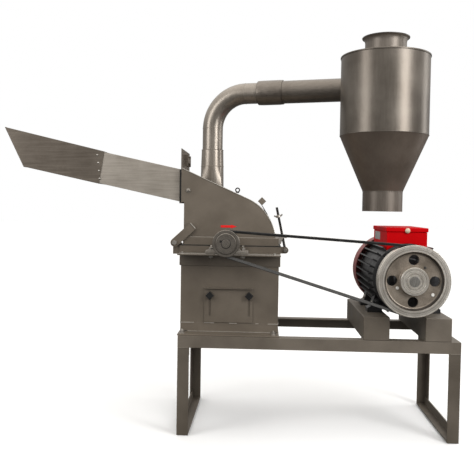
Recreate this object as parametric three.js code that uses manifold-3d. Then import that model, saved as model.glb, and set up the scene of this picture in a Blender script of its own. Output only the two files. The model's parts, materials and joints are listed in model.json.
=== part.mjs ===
// Hammer mill with blower, cyclone and electric drive on a welded angle-iron stand.
// Millimetres, +Z up, +X from the mill towards the motor, -Y is the belt side.
// The sub-assemblies are laid out from the stand's front left corner, and the whole
// group is shifted at the end so that the origin is at the bottom centre of its box.

import * as THREE from 'three';
import { mergeVertices } from 'three/addons/utils/BufferGeometryUtils.js';
import Module from 'manifold-3d';

const wasm = await Module();
wasm.setup();

// ---------------------------------------------------------------- driving dimensions

const GAP = 0.3; // clearance between pieces that touch
const WELD_TOLERANCE = 1e-4;
const PIPE_SIDES = 22;
// Cutters run a few millimetres past the faces they open, so no thin skin is left.

const STAND = { length: 1200, depth: 550, height: 430, angle: 50, wall: 6, runnerHeight: 42, runnerLift: 3 };

const RAIL = { left: 790, right: 1050, width: 110, height: 100, wall: 5 };

// The mill's local frame has its origin on the shaft axis, at the stand's front plane.
const MILL = {
  shaftX: 205, shaftZ: 832,
  left: -205, right: 225, front: 85, rear: 440, wall: 5,
  baseBottom: -401.7, baseTop: -358, jointZ: -16,
  flangeHeight: 34, flangeReach: 6,
};
const MILL_MIDDLE = (MILL.front + MILL.rear) / 2;

const SHELF = { top: -49.5, thickness: 6, apron: 50, front: -2, rear: 505, overhang: 6 };
const BEARING = {
  height: 49.2, length: 184, width: 52, boltSpacing: 137, boltRadius: 6.5, shell: 41, shellHalf: 19,
  footHeight: 14, insertRadius: 29, insertHalf: 24.6, shaft: 20,
  endRise: 16, neckRise: 22, neckReach: 12, shellWrap: 0.35,
};
const FRONT_BEARING_Y = 42;
const REAR_BEARING_Y = 473;

const COVER = {
  radius: 208, slope: THREE.MathUtils.degToRad(24), throatX: -208, throatFloor: 171, left: -195, bandRight: 222,
};
const COVER_BOTTOM = MILL.jointZ + 2;
const SHAFT_HOLE = 24;

const MILL_FOOT = { thickness: 6, lip: 4, inset: 8 };
const HINGE = { x: -233, z: -6, pin: 7, arm: 18, armLength: 109, armAngle: 0.747, armThickness: 8 };
const HINGE_LUG = { radius: 14, web: 8, thickness: 12, bottom: -56 };
const HINGE_PIN = { overhang: 15, headRadius: 11, head: 5 };
const SWING = { x: 257, z: -43, lean: 0.213, length: 203, rod: 6, eye: 15, eyeWidth: 12, nutAt: 154 };
const FORK = { cheek: 8, clearance: 1, pin: 6 };
const CLAMP_LUG = { left: 200, right: 263, half: 22, bottom: 14, top: 22, slotLeft: 235, slotHalf: 8 };
const LUG_GUSSET = { left: 205, topRight: 246, bottomRight: 236, thickness: 6 };
const WING_NUT = {
  radius: 11, height: 12, wingHalf: 2.5, wing: [[8, 0], [20, 8], [20, 14], [15, 14], [7, 8]],
};
const LIFTING_EYE = { x: 38, y: 112, ring: 8.5, wire: 2.8, ringHeight: 13, foot: 7.5, neck: 4.5 };
const CATCH = { y: 110, start: 0.62, bend: 0.72, end: 0.88, half: 10, grip: 13, gripAngle: 0.89, gripLift: 24 };

const ROTOR = { discRadius: 130, discThickness: 12, pinCircle: 110, pin: 8, shaft: 28, front: 112, rear: 401 };
// The mill shaft's steps from front to rear; its journals have the bearings' radius.
const MILL_SHAFT = {
  end: 18, front: -64, frontStep: 12, rotorStart: 94, rotorEnd: 431, rearStep: 506, rear: 596,
};
const HAMMER = { length: 70, width: 40, thickness: 6, count: 6, head: 20, tube: 13, bore: 9.2 };
const SCREEN = { inner: 196, outer: 199 };

const PULLEY = { front: -58, width: 44, grooveDepth: 13.5, grooveHalf: 8.8, grooveAngle: 0.332, pitch: 20 };
const BELT = { halfTop: 8, halfBottom: 4.2, height: 11 };
const MILL_PULLEY_RADIUS = 57;
const MOTOR_PULLEY_RADIUS = 150;
const MILL_HUB = { radius: 43, reach: 7 };
const MOTOR_WEB = {
  rim: 28, rimTaper: 2, front: 18, rear: 32, hub: 58, hubFront: 8, hubRear: 4,
  holes: 4, holeRadius: 22, holeCircle: 88,
};

const DAMPER = { left: -100, right: 113, bottom: -354, top: -202, thickness: 4, lip: 15, slotX: [-75, 97] };
const DAMPER_STUD = { z: -235, radius: 4, length: 20, slotHalf: 4.5, slotBottom: -326 };
const DAMPER_WINDOW = { left: -60, right: 82, bottom: -332, top: -242 };
const KNOB = { side: 26, depth: 22 };

const GATE = { x: -213, thickness: 3, front: 107, rear: 403, height: 236 };
const GATE_GRIP = {
  straps: [[200, 208], [302, 310]], reach: 20, low: 70, high: 20, barLow: 56, barHigh: 34, bar: 14,
};
const GATE_GUIDE = { depth: 9, top: 316, stopBottom: 166, stopTop: 172 };
const CHUTE = { right: -218, floor: 174, height: 143, rise: 0.21, mouthRise: 0.23, wall: 2.5, lap: 2.8 };
const CHUTE_INNER = { end: -630, front: 112, rear: 408 };
const CHUTE_OUTER = { jointTop: -557, jointBottom: -580, lipTop: -1004, lipBottom: -919 };

const BLOWER = {
  front: 515, rear: 609, wall: 4, start: 148, end: 172, cutoff: 112, outletTop: 168, outletRight: -52,
};
const IMPELLER = {
  radius: 135, blades: 6, eye: 75, back: 526, front: 592, plate: 8, vaneHalf: 2.5, hub: 34, hubLead: 6,
};
const SUCTION = { left: -100, right: 100, bottom: -352, roof: -232, top: 100, back: 690, wall: 4 };

// The duct's local frame stands on the riser axis, with +X along the cross duct.
const DUCT = { x: 93, y: 562, turn: THREE.MathUtils.degToRad(-15), height: 1553, bend: 173 };
const RISER = {
  bottom: 1000.3, throat: 1190, socketTop: 1275, socket: 57, mouth: 54.7, pipe: 51, pipeStart: 1240, wall: 3,
};
const SLEEVE = { start: 240, flared: 266, end: 366, radius: 60, lead: 4, pipeEnd: 306 };
const CROSS = { start: 320, radius: 55, wall: 3 };

const CYCLONE = {
  x: 865, y: -138, radius: 196, wall: 3,
  top: 1662, seam: 1314, coneBottom: 1065, spoutBottom: 976, spout: 88.5,
  collar: 91.5, collarWall: 3.5, collarTop: 1752, flareStart: 1728, flare: 105, finderBottom: 1500,
  roofOverhang: 3, roofThickness: 4,
};

// The motor's local frame has its origin on the motor shaft axis.
const MOTOR = {
  shaftX: 985, shaftZ: 690, shaftHeight: 160, core: 148, finTip: 170, fins: 32, finWidth: 6,
  front: 78, rear: 440, shield: 50, shieldRadius: 150, cowl: 172, cowlRear: 560,
  stator: 96, shaft: 21, coreFront: 110, coreRear: 380, coreRadius: 94,
};
const FAN = { radius: 145, vanes: 6, hub: 40, front: 476, back: 480, rear: 520 };
const MOTOR_FOOT = {
  starts: [130, 338], length: 56, half: 110, trim: 8,
  // Outline of one foot from its outer lower corner round to its inner one: (reach, rise).
  shape: [[160, 0], [160, 18], [140, 30], [128, 78], [90, 60], [96, 0]],
};
const END_SHIELD = {
  hub: 58, hubReach: 6, dish: 64, shoulder: 118, shoulderRise: 4, rimInset: 6, rimRise: 12, edgeRise: 16,
};
const FAN_COWL = { wall: 3, crown: 22, shoulder: 4, shoulderDepth: 12, skirtDepth: 30, innerDepth: 14 };
const BOX = {
  left: -91, right: 82, front: 80, rear: 412, bottom: 114, split: 199, top: 217, wall: 4, lip: 4, clearance: 1,
};

// ---------------------------------------------------------------- geometry helpers

function signedVolume(geometry) {
  const corners = geometry.attributes.position;
  const index = geometry.index;
  const [a, b, c] = [new THREE.Vector3(), new THREE.Vector3(), new THREE.Vector3()];
  let total = 0;
  for (let i = 0; i < index.count; i += 3) {
    a.fromBufferAttribute(corners, index.getX(i));
    b.fromBufferAttribute(corners, index.getX(i + 1));
    c.fromBufferAttribute(corners, index.getX(i + 2));
    total += a.dot(b.cross(c));
  }
  return total / 6;
}

// Welds a geometry's corners and turns its faces outward.
function welded(geometry) {
  const bare = new THREE.BufferGeometry();
  bare.setAttribute('position', geometry.attributes.position.clone());
  if (geometry.index) {
    bare.setIndex(geometry.index.clone());
  }
  const merged = mergeVertices(bare, WELD_TOLERANCE);
  if (signedVolume(merged) < 0) {
    merged.index.array.reverse();
  }
  return merged;
}

function toSolid(geometry) {
  const shell = welded(geometry);
  return new wasm.Manifold(new wasm.Mesh({
    numProp: 3,
    vertProperties: new Float32Array(shell.attributes.position.array),
    triVerts: new Uint32Array(shell.index.array),
  }));
}

function toGeometry(solid) {
  const mesh = solid.getMesh();
  const geometry = new THREE.BufferGeometry();
  geometry.setAttribute('position', new THREE.BufferAttribute(mesh.vertProperties, 3));
  geometry.setIndex(new THREE.BufferAttribute(mesh.triVerts, 1));
  return geometry;
}

const join = (...parts) => toGeometry(parts.map(toSolid).reduce((sum, next) => sum.add(next)));
const cut = (base, ...tools) => (
  toGeometry(tools.map(toSolid).reduce((rest, tool) => rest.subtract(tool), toSolid(base)))
);

function block([x0, x1], [y0, y1], [z0, z1]) {
  const box = new THREE.BoxGeometry(x1 - x0, y1 - y0, z1 - z0);
  return box.translate((x0 + x1) / 2, (y0 + y1) / 2, (z0 + z1) / 2);
}

// A round bar along Y, centred on (x, z).
function barY(radius, [y0, y1], { x = 0, z = 0, sides = 16 } = {}) {
  return new THREE.CylinderGeometry(radius, radius, y1 - y0, sides).translate(x, (y0 + y1) / 2, z);
}

function barX(radius, [x0, x1], { y = 0, z = 0, sides = 16 } = {}) {
  const bar = new THREE.CylinderGeometry(radius, radius, x1 - x0, sides).rotateZ(Math.PI / 2);
  return bar.translate((x0 + x1) / 2, y, z);
}

function barZ(radius, [z0, z1], { x = 0, y = 0, sides = 12 } = {}) {
  const bar = new THREE.CylinderGeometry(radius, radius, z1 - z0, sides).rotateX(Math.PI / 2);
  return bar.translate(x, y, (z0 + z1) / 2);
}

// A cutter for a faceted round hole that a bar of the given radius turns in with clearance.
function boreY(radius, reach, { x = 0, z = 0, sides = 16 } = {}) {
  return barY((radius + GAP) / Math.cos(Math.PI / sides), reach, { x, z, sides });
}

// A flat outline given as (x, z), pushed along Y from y0 to y1.
function pushY(shape, [y0, y1], curveSegments = 12) {
  const slab = new THREE.ExtrudeGeometry(shape, { depth: y1 - y0, bevelEnabled: false, curveSegments });
  return slab.rotateX(Math.PI / 2).translate(0, y1, 0);
}

// A flat outline given as (y, z), pushed along X from x0 to x1.
function pushX(shape, [x0, x1]) {
  const slab = new THREE.ExtrudeGeometry(shape, { depth: x1 - x0, bevelEnabled: false });
  return slab.applyMatrix4(new THREE.Matrix4().set(0, 0, 1, x0, 1, 0, 0, 0, 0, 1, 0, 0, 0, 0, 0, 1));
}

const outline = (points) => new THREE.Shape(points.map(([u, v]) => new THREE.Vector2(u, v)));

// A turned piece: (radius, height) points, closed on themselves, around the Y or Z axis.
function turned(profile, sides) {
  const points = profile.map(([radius, height]) => new THREE.Vector2(radius, height));
  const onAxis = profile[0][0] === 0 && profile.at(-1)[0] === 0;
  return new THREE.LatheGeometry(onAxis ? points : [...points, points[0]], sides);
}
const turnedY = (profile, sides = 32) => turned(profile, sides);
const turnedZ = (profile, sides = 32) => turned(profile, sides).rotateX(Math.PI / 2);

// A skin over a row of rings with equal numbers of corners, capped or closed on itself.
function skin(rings, closedLoop = false) {
  const corners = rings[0].length;
  const positions = rings.flat().flatMap((point) => point.toArray());
  const faces = [];
  const spans = closedLoop ? rings.length : rings.length - 1;
  for (let i = 0; i < spans; i += 1) {
    const here = i * corners;
    const there = ((i + 1) % rings.length) * corners;
    for (let j = 0; j < corners; j += 1) {
      const next = (j + 1) % corners;
      faces.push(here + j, here + next, there + next, here + j, there + next, there + j);
    }
  }
  const last = (rings.length - 1) * corners;
  for (let j = 1; !closedLoop && j < corners - 1; j += 1) {
    faces.push(0, j + 1, j, last, last + j, last + j + 1);
  }
  const geometry = new THREE.BufferGeometry();
  geometry.setAttribute('position', new THREE.Float32BufferAttribute(positions, 3));
  geometry.setIndex(faces);
  return geometry;
}

// A ring of corners around a centre, in the plane of two unit directions.
function ringAround(centre, side, up, radius, corners) {
  return Array.from({ length: corners }, (_, i) => {
    const turn = (i / corners) * 2 * Math.PI;
    return centre.clone()
      .addScaledVector(side, radius * Math.cos(turn))
      .addScaledVector(up, radius * Math.sin(turn));
  });
}

// ---------------------------------------------------------------- materials

const PAINT = { color: 0x675f55, roughness: 0.5, metalness: 0.35 };
const PAINT_LIGHT = { color: 0x7d746a, roughness: 0.45, metalness: 0.4 };
const SHEET = { color: 0xa59b8c, roughness: 0.38, metalness: 0.7 };
const DUCTING = { color: 0x8a7f72, roughness: 0.4, metalness: 0.6 };
const STEEL = { color: 0x8e8a84, roughness: 0.35, metalness: 0.85 };
const MACHINED = { color: 0xb4aca0, roughness: 0.3, metalness: 0.8 };
const IRON = { color: 0x6f6a63, roughness: 0.6, metalness: 0.6 };
const BLACK_ENAMEL = { color: 0x16171a, roughness: 0.4, metalness: 0.3 };
const BLACK_PLASTIC = { color: 0x0e0e0e, roughness: 0.5, metalness: 0.0 };
const DULL_RED = { color: 0x8a4a48, roughness: 0.5, metalness: 0.3 };
const BRIGHT_RED = { color: 0xc8000e, roughness: 0.35, metalness: 0.2 };
const RUBBER = { color: 0x191918, roughness: 0.8, metalness: 0.0 };

function mesh(name, geometry, finish, place = {}) {
  const shown = welded(geometry).toNonIndexed();
  shown.computeVertexNormals();
  const piece = new THREE.Mesh(shown, new THREE.MeshStandardMaterial(finish));
  piece.name = name;
  piece.position.set(place.x ?? 0, place.y ?? 0, place.z ?? 0);
  piece.rotation.z = place.turn ?? 0;
  return piece;
}

function group(pieces, place = {}) {
  const holder = new THREE.Group();
  holder.position.set(place.x ?? 0, place.y ?? 0, place.z ?? 0);
  holder.rotation.z = place.turn ?? 0;
  holder.add(...pieces);
  return holder;
}

// ---------------------------------------------------------------- stand

function topFrame() {
  const { length, depth, height, angle, wall } = STAND;
  const tall = [height - angle, height];
  const flat = [height - wall, height];
  return join(
    block([0, length], [0, wall], tall),
    block([0, length], [0, angle], flat),
    block([0, length], [depth - wall, depth], tall),
    block([0, length], [depth - angle, depth], flat),
    block([0, wall], [0, depth], tall),
    block([0, angle], [0, depth], flat),
    block([length - wall, length], [0, depth], tall),
    block([length - angle, length], [0, depth], flat),
  );
}

function leg() {
  const rise = [0, STAND.height - STAND.angle - GAP];
  return join(
    block([0, STAND.angle], [0, STAND.wall], rise),
    block([0, STAND.wall], [0, STAND.angle], rise),
  );
}

// A runner joins a front leg to a rear leg close to the floor.
function runner() {
  const inside = STAND.wall + GAP;
  const reach = [inside, STAND.depth - inside];
  const { runnerLift, runnerHeight, wall, angle } = STAND;
  return join(
    block([inside, inside + wall], reach, [runnerLift, runnerLift + runnerHeight]),
    block([inside, inside + angle - wall], reach, [runnerLift, runnerLift + wall]),
  );
}

function motorRail() {
  const { width, height, wall } = RAIL;
  return cut(
    block([0, width], [0, STAND.depth], [GAP, height]),
    block([wall, width - wall], [wall, STAND.depth - wall], [0, height - wall]),
  );
}

function stand() {
  const { length, depth, height } = STAND;
  const quarter = Math.PI / 2;
  return group([
    mesh('stand_top_frame', topFrame(), PAINT),
    mesh('stand_leg_front_left', leg(), PAINT),
    mesh('stand_leg_front_right', leg(), PAINT, { x: length, turn: quarter }),
    mesh('stand_leg_rear_right', leg(), PAINT, { x: length, y: depth, turn: 2 * quarter }),
    mesh('stand_leg_rear_left', leg(), PAINT, { y: depth, turn: 3 * quarter }),
    mesh('stand_runner_left', runner(), PAINT),
    mesh('stand_runner_right', runner(), PAINT, { x: length, y: depth, turn: 2 * quarter }),
    mesh('motor_rail_left', motorRail(), PAINT, { x: RAIL.left, z: height }),
    mesh('motor_rail_right', motorRail(), PAINT, { x: RAIL.right, z: height }),
  ]);
}

// ---------------------------------------------------------------- mill casings

function millBase() {
  const { left, right, front, rear, wall, baseBottom, baseTop } = MILL;
  const { thickness, lip, inset } = MILL_FOOT;
  return join(
    block([left - lip, right + lip], [inset, STAND.depth - inset], [baseBottom, baseBottom + thickness]),
    cut(
      block([left, right], [front, rear], [baseBottom, baseTop]),
      block([left + wall, right - wall], [front + wall, rear - wall], [baseBottom - 1, baseTop + 1]),
    ),
  );
}

// The lugs on the casing's left side carry the cover's hinge pin.
function hingeLugs() {
  const { radius, web, thickness, bottom } = HINGE_LUG;
  const { x, z, pin } = HINGE;
  const places = [[MILL.front + GAP, MILL.front + thickness], [MILL.rear - thickness, MILL.rear - GAP]];
  return places.map((thick) => cut(
    join(
      block([x - web, MILL.left + 2], thick, [bottom, z]),
      barY(radius, thick, { x, z }),
    ),
    boreY(pin, [thick[0] - 1, thick[1] + 1], { x, z }),
  ));
}

// The fork on the casing's right side carries the swing bolt on a fixed cross pin.
function swingFork() {
  const { x, z, eye, eyeWidth } = SWING;
  const inner = eyeWidth / 2 + FORK.clearance;
  const outer = inner + FORK.cheek;
  const cheeks = [-1, 1].map((side) => {
    const thick = [MILL_MIDDLE + side * inner, MILL_MIDDLE + side * outer].sort((a, b) => a - b);
    return join(
      block([MILL.right - 2, x], thick, [z - eye, z + eye]),
      barY(eye, thick, { x, z }),
    );
  });
  return [...cheeks, barY(FORK.pin, [MILL_MIDDLE - outer, MILL_MIDDLE + outer], { x, z })];
}

function lowerCasing() {
  const { left, right, front, rear, wall, baseTop, jointZ, flangeReach } = MILL;
  const inner = [[left + wall, right - wall], [front + wall, rear - wall]];
  const studReach = [front - DAMPER_STUD.length, front + 1];
  const window = DAMPER_WINDOW;
  const bandBottom = SHELF.top + GAP;
  const around = [[left - flangeReach, right + flangeReach], [front - flangeReach, rear + flangeReach]];
  const shell = join(
    block([left, right], [front, rear], [baseTop + GAP, jointZ]),
    block(...around, [bandBottom, jointZ]),
    ...hingeLugs(),
    ...swingFork(),
    ...DAMPER.slotX.map((x) => barY(DAMPER_STUD.radius, studReach, { x, z: DAMPER_STUD.z, sides: 12 })),
  );
  return cut(
    shell,
    block(...inner, [baseTop - 1, jointZ + 1]),
    block([window.left, window.right], [front - 1, front + wall + 1], [window.bottom, window.top]),
    block([SUCTION.left, SUCTION.right], [rear - wall - 1, rear + 1], [SUCTION.bottom, SUCTION.roof]),
    barY(SHAFT_HOLE, [front - 10, front + wall + 1]),
    barY(SHAFT_HOLE, [rear - wall - 1, rear + 10]),
  );
}

// An angle bar along one face of the casing, with its flat leg outward.
function bearingShelf(side) {
  const { top, thickness, apron, overhang } = SHELF;
  const along = [MILL.left - overhang, MILL.right + overhang];
  const wallFace = side < 0 ? MILL.front - GAP : MILL.rear + GAP;
  const edge = side < 0 ? SHELF.front : SHELF.rear;
  const skinDepth = [wallFace, wallFace + side * thickness].sort((a, b) => a - b);
  const flat = join(
    block(along, [Math.min(edge, wallFace), Math.max(edge, wallFace)], [top - thickness, top]),
    block(along, skinDepth, [top - thickness - apron, top]),
  );
  const middle = side < 0 ? FRONT_BEARING_Y : REAR_BEARING_Y;
  const holes = [-1, 1].map((end) => barZ(BEARING.boltRadius, [top - 10, top + 4], {
    x: (end * BEARING.boltSpacing) / 2, y: middle, sides: 12,
  }));
  return cut(flat, ...holes);
}

function pillowBlock() {
  const {
    height, length, width, boltSpacing, boltRadius, shell, shellHalf,
    footHeight, insertRadius, insertHalf, shaft, endRise, neckRise, neckReach, shellWrap,
  } = BEARING;
  const [endZ, neckZ] = [endRise - height, neckRise - height];
  const body = new THREE.Shape();
  body.moveTo(-length / 2, -height);
  body.lineTo(length / 2, -height);
  body.lineTo(length / 2, endZ);
  body.lineTo(shell + neckReach, neckZ);
  body.absarc(0, 0, shell, -shellWrap, Math.PI + shellWrap, false);
  body.lineTo(-shell - neckReach, neckZ);
  body.lineTo(-length / 2, endZ);
  const casting = join(
    pushY(body, [-shellHalf, shellHalf]),
    block([-length / 2, length / 2], [-width / 2, width / 2], [-height, -height + footHeight]),
    barY(insertRadius, [-insertHalf, insertHalf]),
  );
  const holes = [-1, 1].map((end) => barZ(boltRadius, [-height - 2, 0], { x: (end * boltSpacing) / 2 }));
  return cut(casting, boreY(shaft, [-width, width]), ...holes);
}

// Outline of the cover: round over the rotor, then a straight roof up to the feed throat.
function coverOutline(inset, floorZ, leftX, throatX, throatFloor) {
  const radius = COVER.radius - inset;
  const touch = Math.PI / 2 - COVER.slope;
  const [touchX, touchZ] = [radius * Math.cos(touch), radius * Math.sin(touch)];
  const shape = new THREE.Shape();
  shape.moveTo(leftX, floorZ);
  shape.lineTo(radius, floorZ);
  shape.lineTo(radius, 0);
  shape.absarc(0, 0, radius, 0, touch, false);
  shape.lineTo(throatX, touchZ + Math.tan(COVER.slope) * (touchX - throatX));
  shape.lineTo(throatX, throatFloor);
  shape.lineTo(leftX, throatFloor);
  return shape;
}

// The slotted lug that the swing bolt's nut clamps, with a gusset under each edge.
function clampLug() {
  const { left, right, half, bottom, top, slotLeft, slotHalf } = CLAMP_LUG;
  const wide = [MILL_MIDDLE - half, MILL_MIDDLE + half];
  const plate = cut(
    block([left, right], wide, [bottom, top]),
    block([slotLeft, right + 5], [MILL_MIDDLE - slotHalf, MILL_MIDDLE + slotHalf], [bottom - 5, top + 5]),
  );
  const { thickness, topRight, bottomRight } = LUG_GUSSET;
  const gusset = outline([
    [LUG_GUSSET.left, bottom + 2], [topRight, bottom + 2],
    [bottomRight, COVER_BOTTOM], [LUG_GUSSET.left, COVER_BOTTOM],
  ]);
  return join(
    plate,
    pushY(gusset, [wide[0], wide[0] + thickness]),
    pushY(gusset, [wide[1] - thickness, wide[1]]),
  );
}

function upperCasing() {
  const { front, rear, wall, flangeReach, flangeHeight } = MILL;
  const { left, throatX, throatFloor } = COVER;
  const shell = pushY(coverOutline(0, COVER_BOTTOM, left, throatX, throatFloor), [front, rear]);
  const hollow = pushY(
    coverOutline(wall, COVER_BOTTOM - 5, left + wall, throatX - 30, throatFloor + wall),
    [front + wall, rear - wall],
  );
  const bandZ = [COVER_BOTTOM, COVER_BOTTOM + flangeHeight];
  const band = cut(
    block([left, COVER.bandRight], [front - flangeReach, rear + flangeReach], bandZ),
    block([left - 1, COVER.radius - 1], [front + 1, rear - 1], [bandZ[0] - 1, bandZ[1] + 1]),
  );
  const { depth, top, stopBottom, stopTop } = GATE_GUIDE;
  const channel = [CHUTE.right + GAP, throatX + 2];
  const guides = [[GATE.front - depth, GATE.front - GAP], [GATE.rear + GAP, GATE.rear + depth]].map((deep) => (
    block(channel, deep, [throatFloor, top])
  ));
  const stop = block(channel, [GATE.front - depth, GATE.rear + depth], [stopBottom, stopTop]);
  const shaftSlots = [front, rear].flatMap((y) => [
    barY(SHAFT_HOLE, [y - 20, y + 20]),
    block([-SHAFT_HOLE, SHAFT_HOLE], [y - 20, y + 20], [COVER_BOTTOM - 5, 0]),
  ]);
  return join(cut(join(shell, band), hollow, ...shaftSlots), ...guides, stop, clampLug());
}

function hingeArm() {
  const { pin, arm, armLength, armAngle, armThickness } = HINGE;
  const bar = join(
    barY(arm, [0, armThickness]),
    block([0, armLength], [0, armThickness], [-arm, arm]).rotateY(-armAngle),
  );
  return cut(bar, boreY(pin, [-1, armThickness + 1]));
}

function hingePin() {
  const { overhang, headRadius, head } = HINGE_PIN;
  const reach = [MILL.front - overhang, MILL.rear + overhang];
  return join(
    barY(HINGE.pin, reach, { sides: 20 }),
    barY(headRadius, [reach[0] - head, reach[0]], { sides: 6 }),
    barY(headRadius, [reach[1], reach[1] + head], { sides: 6 }),
  );
}

function liftingEye() {
  const { ring, wire, ringHeight, foot, neck } = LIFTING_EYE;
  const loop = new THREE.TorusGeometry(ring, wire, 6, 14).rotateX(Math.PI / 2).translate(0, 0, ringHeight);
  return join(loop, barZ(neck, [0, 8]), barZ(foot, [-GAP, 3])).translate(0, 0, 2 * GAP);
}

// A square grip on a bent strap that stands off the round of the cover.
function coverCatch() {
  const radius = COVER.radius + GAP;
  const point = (angle, lift) => [(radius + lift) * Math.cos(angle), (radius + lift) * Math.sin(angle)];
  const { start, bend, end, half, grip, gripAngle, gripLift } = CATCH;
  const strap = outline([
    point(start, 0), point(bend, 0), point(bend + 0.02, 3), point(end, 12),
    point(end, 15), point(bend, 6), point(start, 4),
  ]);
  const [gripX, gripZ] = point(gripAngle, gripLift);
  const knob = block([-grip, grip], [-grip + 1, grip - 1], [-grip, grip]);
  return join(pushY(strap, [-half, half]), knob.rotateY(Math.PI / 4).translate(gripX, 0, gripZ));
}

function screen() {
  const arc = new THREE.Shape();
  const start = Math.asin((MILL.jointZ - 4) / SCREEN.outer);
  arc.absarc(0, 0, SCREEN.outer, Math.PI - start, 2 * Math.PI + start, false);
  arc.absarc(0, 0, SCREEN.inner, 2 * Math.PI + start, Math.PI - start, true);
  return pushY(arc, [MILL.front + MILL.wall + 1, MILL.rear - MILL.wall - 1], 18);
}

// ---------------------------------------------------------------- feed, gate and damper

// A sloping rectangular duct: floor and roof rise towards -X, with upright side walls.
function slopingBody(right, left, inset, [front, rear]) {
  const floorAt = (x) => CHUTE.floor + inset + CHUTE.rise * (CHUTE.right - x);
  const roofAt = (x) => CHUTE.floor + CHUTE.height - inset + CHUTE.rise * (CHUTE.right - x);
  return pushY(
    outline([[right, floorAt(right)], [right, roofAt(right)], [left, roofAt(left)], [left, floorAt(left)]]),
    [front + inset, rear - inset],
  );
}

function innerChute() {
  const span = [CHUTE_INNER.front, CHUTE_INNER.rear];
  return cut(
    slopingBody(CHUTE.right, CHUTE_INNER.end, 0, span),
    slopingBody(CHUTE.right + 5, CHUTE_INNER.end - 5, CHUTE.wall, span),
  );
}

function outerChute() {
  const { floor, height, rise, mouthRise, right, lap } = CHUTE;
  const { jointTop, jointBottom, lipTop, lipBottom } = CHUTE_OUTER;
  const body = (inset, reach) => {
    const floorAt = (x) => floor - lap + inset + rise * (right - x);
    const roofAt = (x) => floor + height + lap - inset + rise * (right - jointTop) + mouthRise * (jointTop - x);
    return outline([
      [jointBottom + reach, floorAt(jointBottom + reach)],
      [jointTop + reach, roofAt(jointTop + reach)],
      [lipTop - reach, roofAt(lipTop - reach)],
      [lipBottom - reach, floorAt(lipBottom - reach)],
    ]);
  };
  const deep = [CHUTE_INNER.front - lap, CHUTE_INNER.rear + lap];
  return cut(
    pushY(body(0, 0), deep),
    pushY(body(CHUTE.wall, 12), [deep[0] + CHUTE.wall, deep[1] - CHUTE.wall]),
  );
}

function feedGate() {
  const plate = block([0, GATE.thickness], [GATE.front, GATE.rear], [0, GATE.height]);
  const { straps, reach, low, high, barLow, barHigh, bar } = GATE_GRIP;
  const height = GATE.height;
  return join(
    plate,
    ...straps.map((deep) => block([GATE.thickness - 1, reach], deep, [height - low, height - high])),
    block([bar, reach], [straps[0][0], straps[1][1]], [height - barLow, height - barHigh]),
  );
}

function damperPlate() {
  const { left, right, bottom, top, thickness, lip, slotX } = DAMPER;
  const back = MILL.front - GAP;
  const plate = join(
    block([left, right], [back - thickness, back], [bottom, top]),
    block([left, right], [back - thickness - lip, back], [top - 3, top]),
  );
  const { z, radius, slotHalf, slotBottom } = DAMPER_STUD;
  const slots = slotX.map((x) => (
    block([x - slotHalf, x + slotHalf], [back - thickness - 1, back + 1], [slotBottom, z + radius + GAP])
  ));
  return cut(plate, ...slots);
}

function damperKnob() {
  const half = KNOB.side / 2;
  const grip = block([-half, half], [0, KNOB.depth], [-half, half]).rotateY(Math.PI / 4);
  return cut(grip, barY(DAMPER_STUD.radius + GAP, [5, KNOB.depth + 1], { sides: 12 }));
}

// ---------------------------------------------------------------- clamp bolt

function swingBolt() {
  const { length, rod, eye, eyeWidth } = SWING;
  return cut(
    join(
      barY(eye - 1, [-eyeWidth / 2, eyeWidth / 2]),
      barZ(rod, [eye - 4, length], { sides: 12 }),
    ),
    boreY(FORK.pin, [-eyeWidth, eyeWidth]),
  ).rotateY(-SWING.lean);
}

function wingNut() {
  const { radius, height, wingHalf, wing } = WING_NUT;
  const wings = [0, Math.PI].map((turn) => pushY(outline(wing), [-wingHalf, wingHalf]).rotateZ(turn));
  return cut(
    join(barZ(radius, [0, height]), ...wings),
    barZ((SWING.rod + GAP) / Math.cos(Math.PI / 12), [-2, height + 8]),
  ).translate(0, 0, SWING.nutAt).rotateY(-SWING.lean);
}

// ---------------------------------------------------------------- rotor

function millShaft() {
  const { end, front, frontStep, rotorStart, rotorEnd, rearStep, rear } = MILL_SHAFT;
  const journal = BEARING.shaft;
  return turnedY([
    [0, front], [end, front], [end, frontStep], [journal, frontStep], [journal, rotorStart],
    [ROTOR.shaft, rotorStart], [ROTOR.shaft, rotorEnd], [journal, rotorEnd], [journal, rearStep],
    [end, rearStep], [end, rear], [0, rear],
  ], 16);
}

const pinAngles = [45, 135, 225, 315].map(THREE.MathUtils.degToRad);
const pinPlace = (angle) => ({ x: ROTOR.pinCircle * Math.cos(angle), z: ROTOR.pinCircle * Math.sin(angle) });

function rotorDisc() {
  const thick = [0, ROTOR.discThickness];
  const through = [-1, ROTOR.discThickness + 1];
  const pinHoles = pinAngles.map((angle) => barY(ROTOR.pin + GAP, through, { ...pinPlace(angle), sides: 12 }));
  return cut(
    barY(ROTOR.discRadius, thick, { sides: 28 }),
    barY(ROTOR.shaft + GAP, through),
    ...pinHoles,
  );
}

function hammerPin() {
  const ends = [ROTOR.front - GAP, ROTOR.rear + ROTOR.discThickness + GAP];
  return join(
    barY(ROTOR.pin, [ends[0] - 8, ends[1] + 8], { sides: 12 }),
    barY(ROTOR.pin + 4, [ends[0] - 8, ends[0]], { sides: 12 }),
    barY(ROTOR.pin + 4, [ends[1], ends[1] + 8], { sides: 12 }),
  );
}

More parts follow.
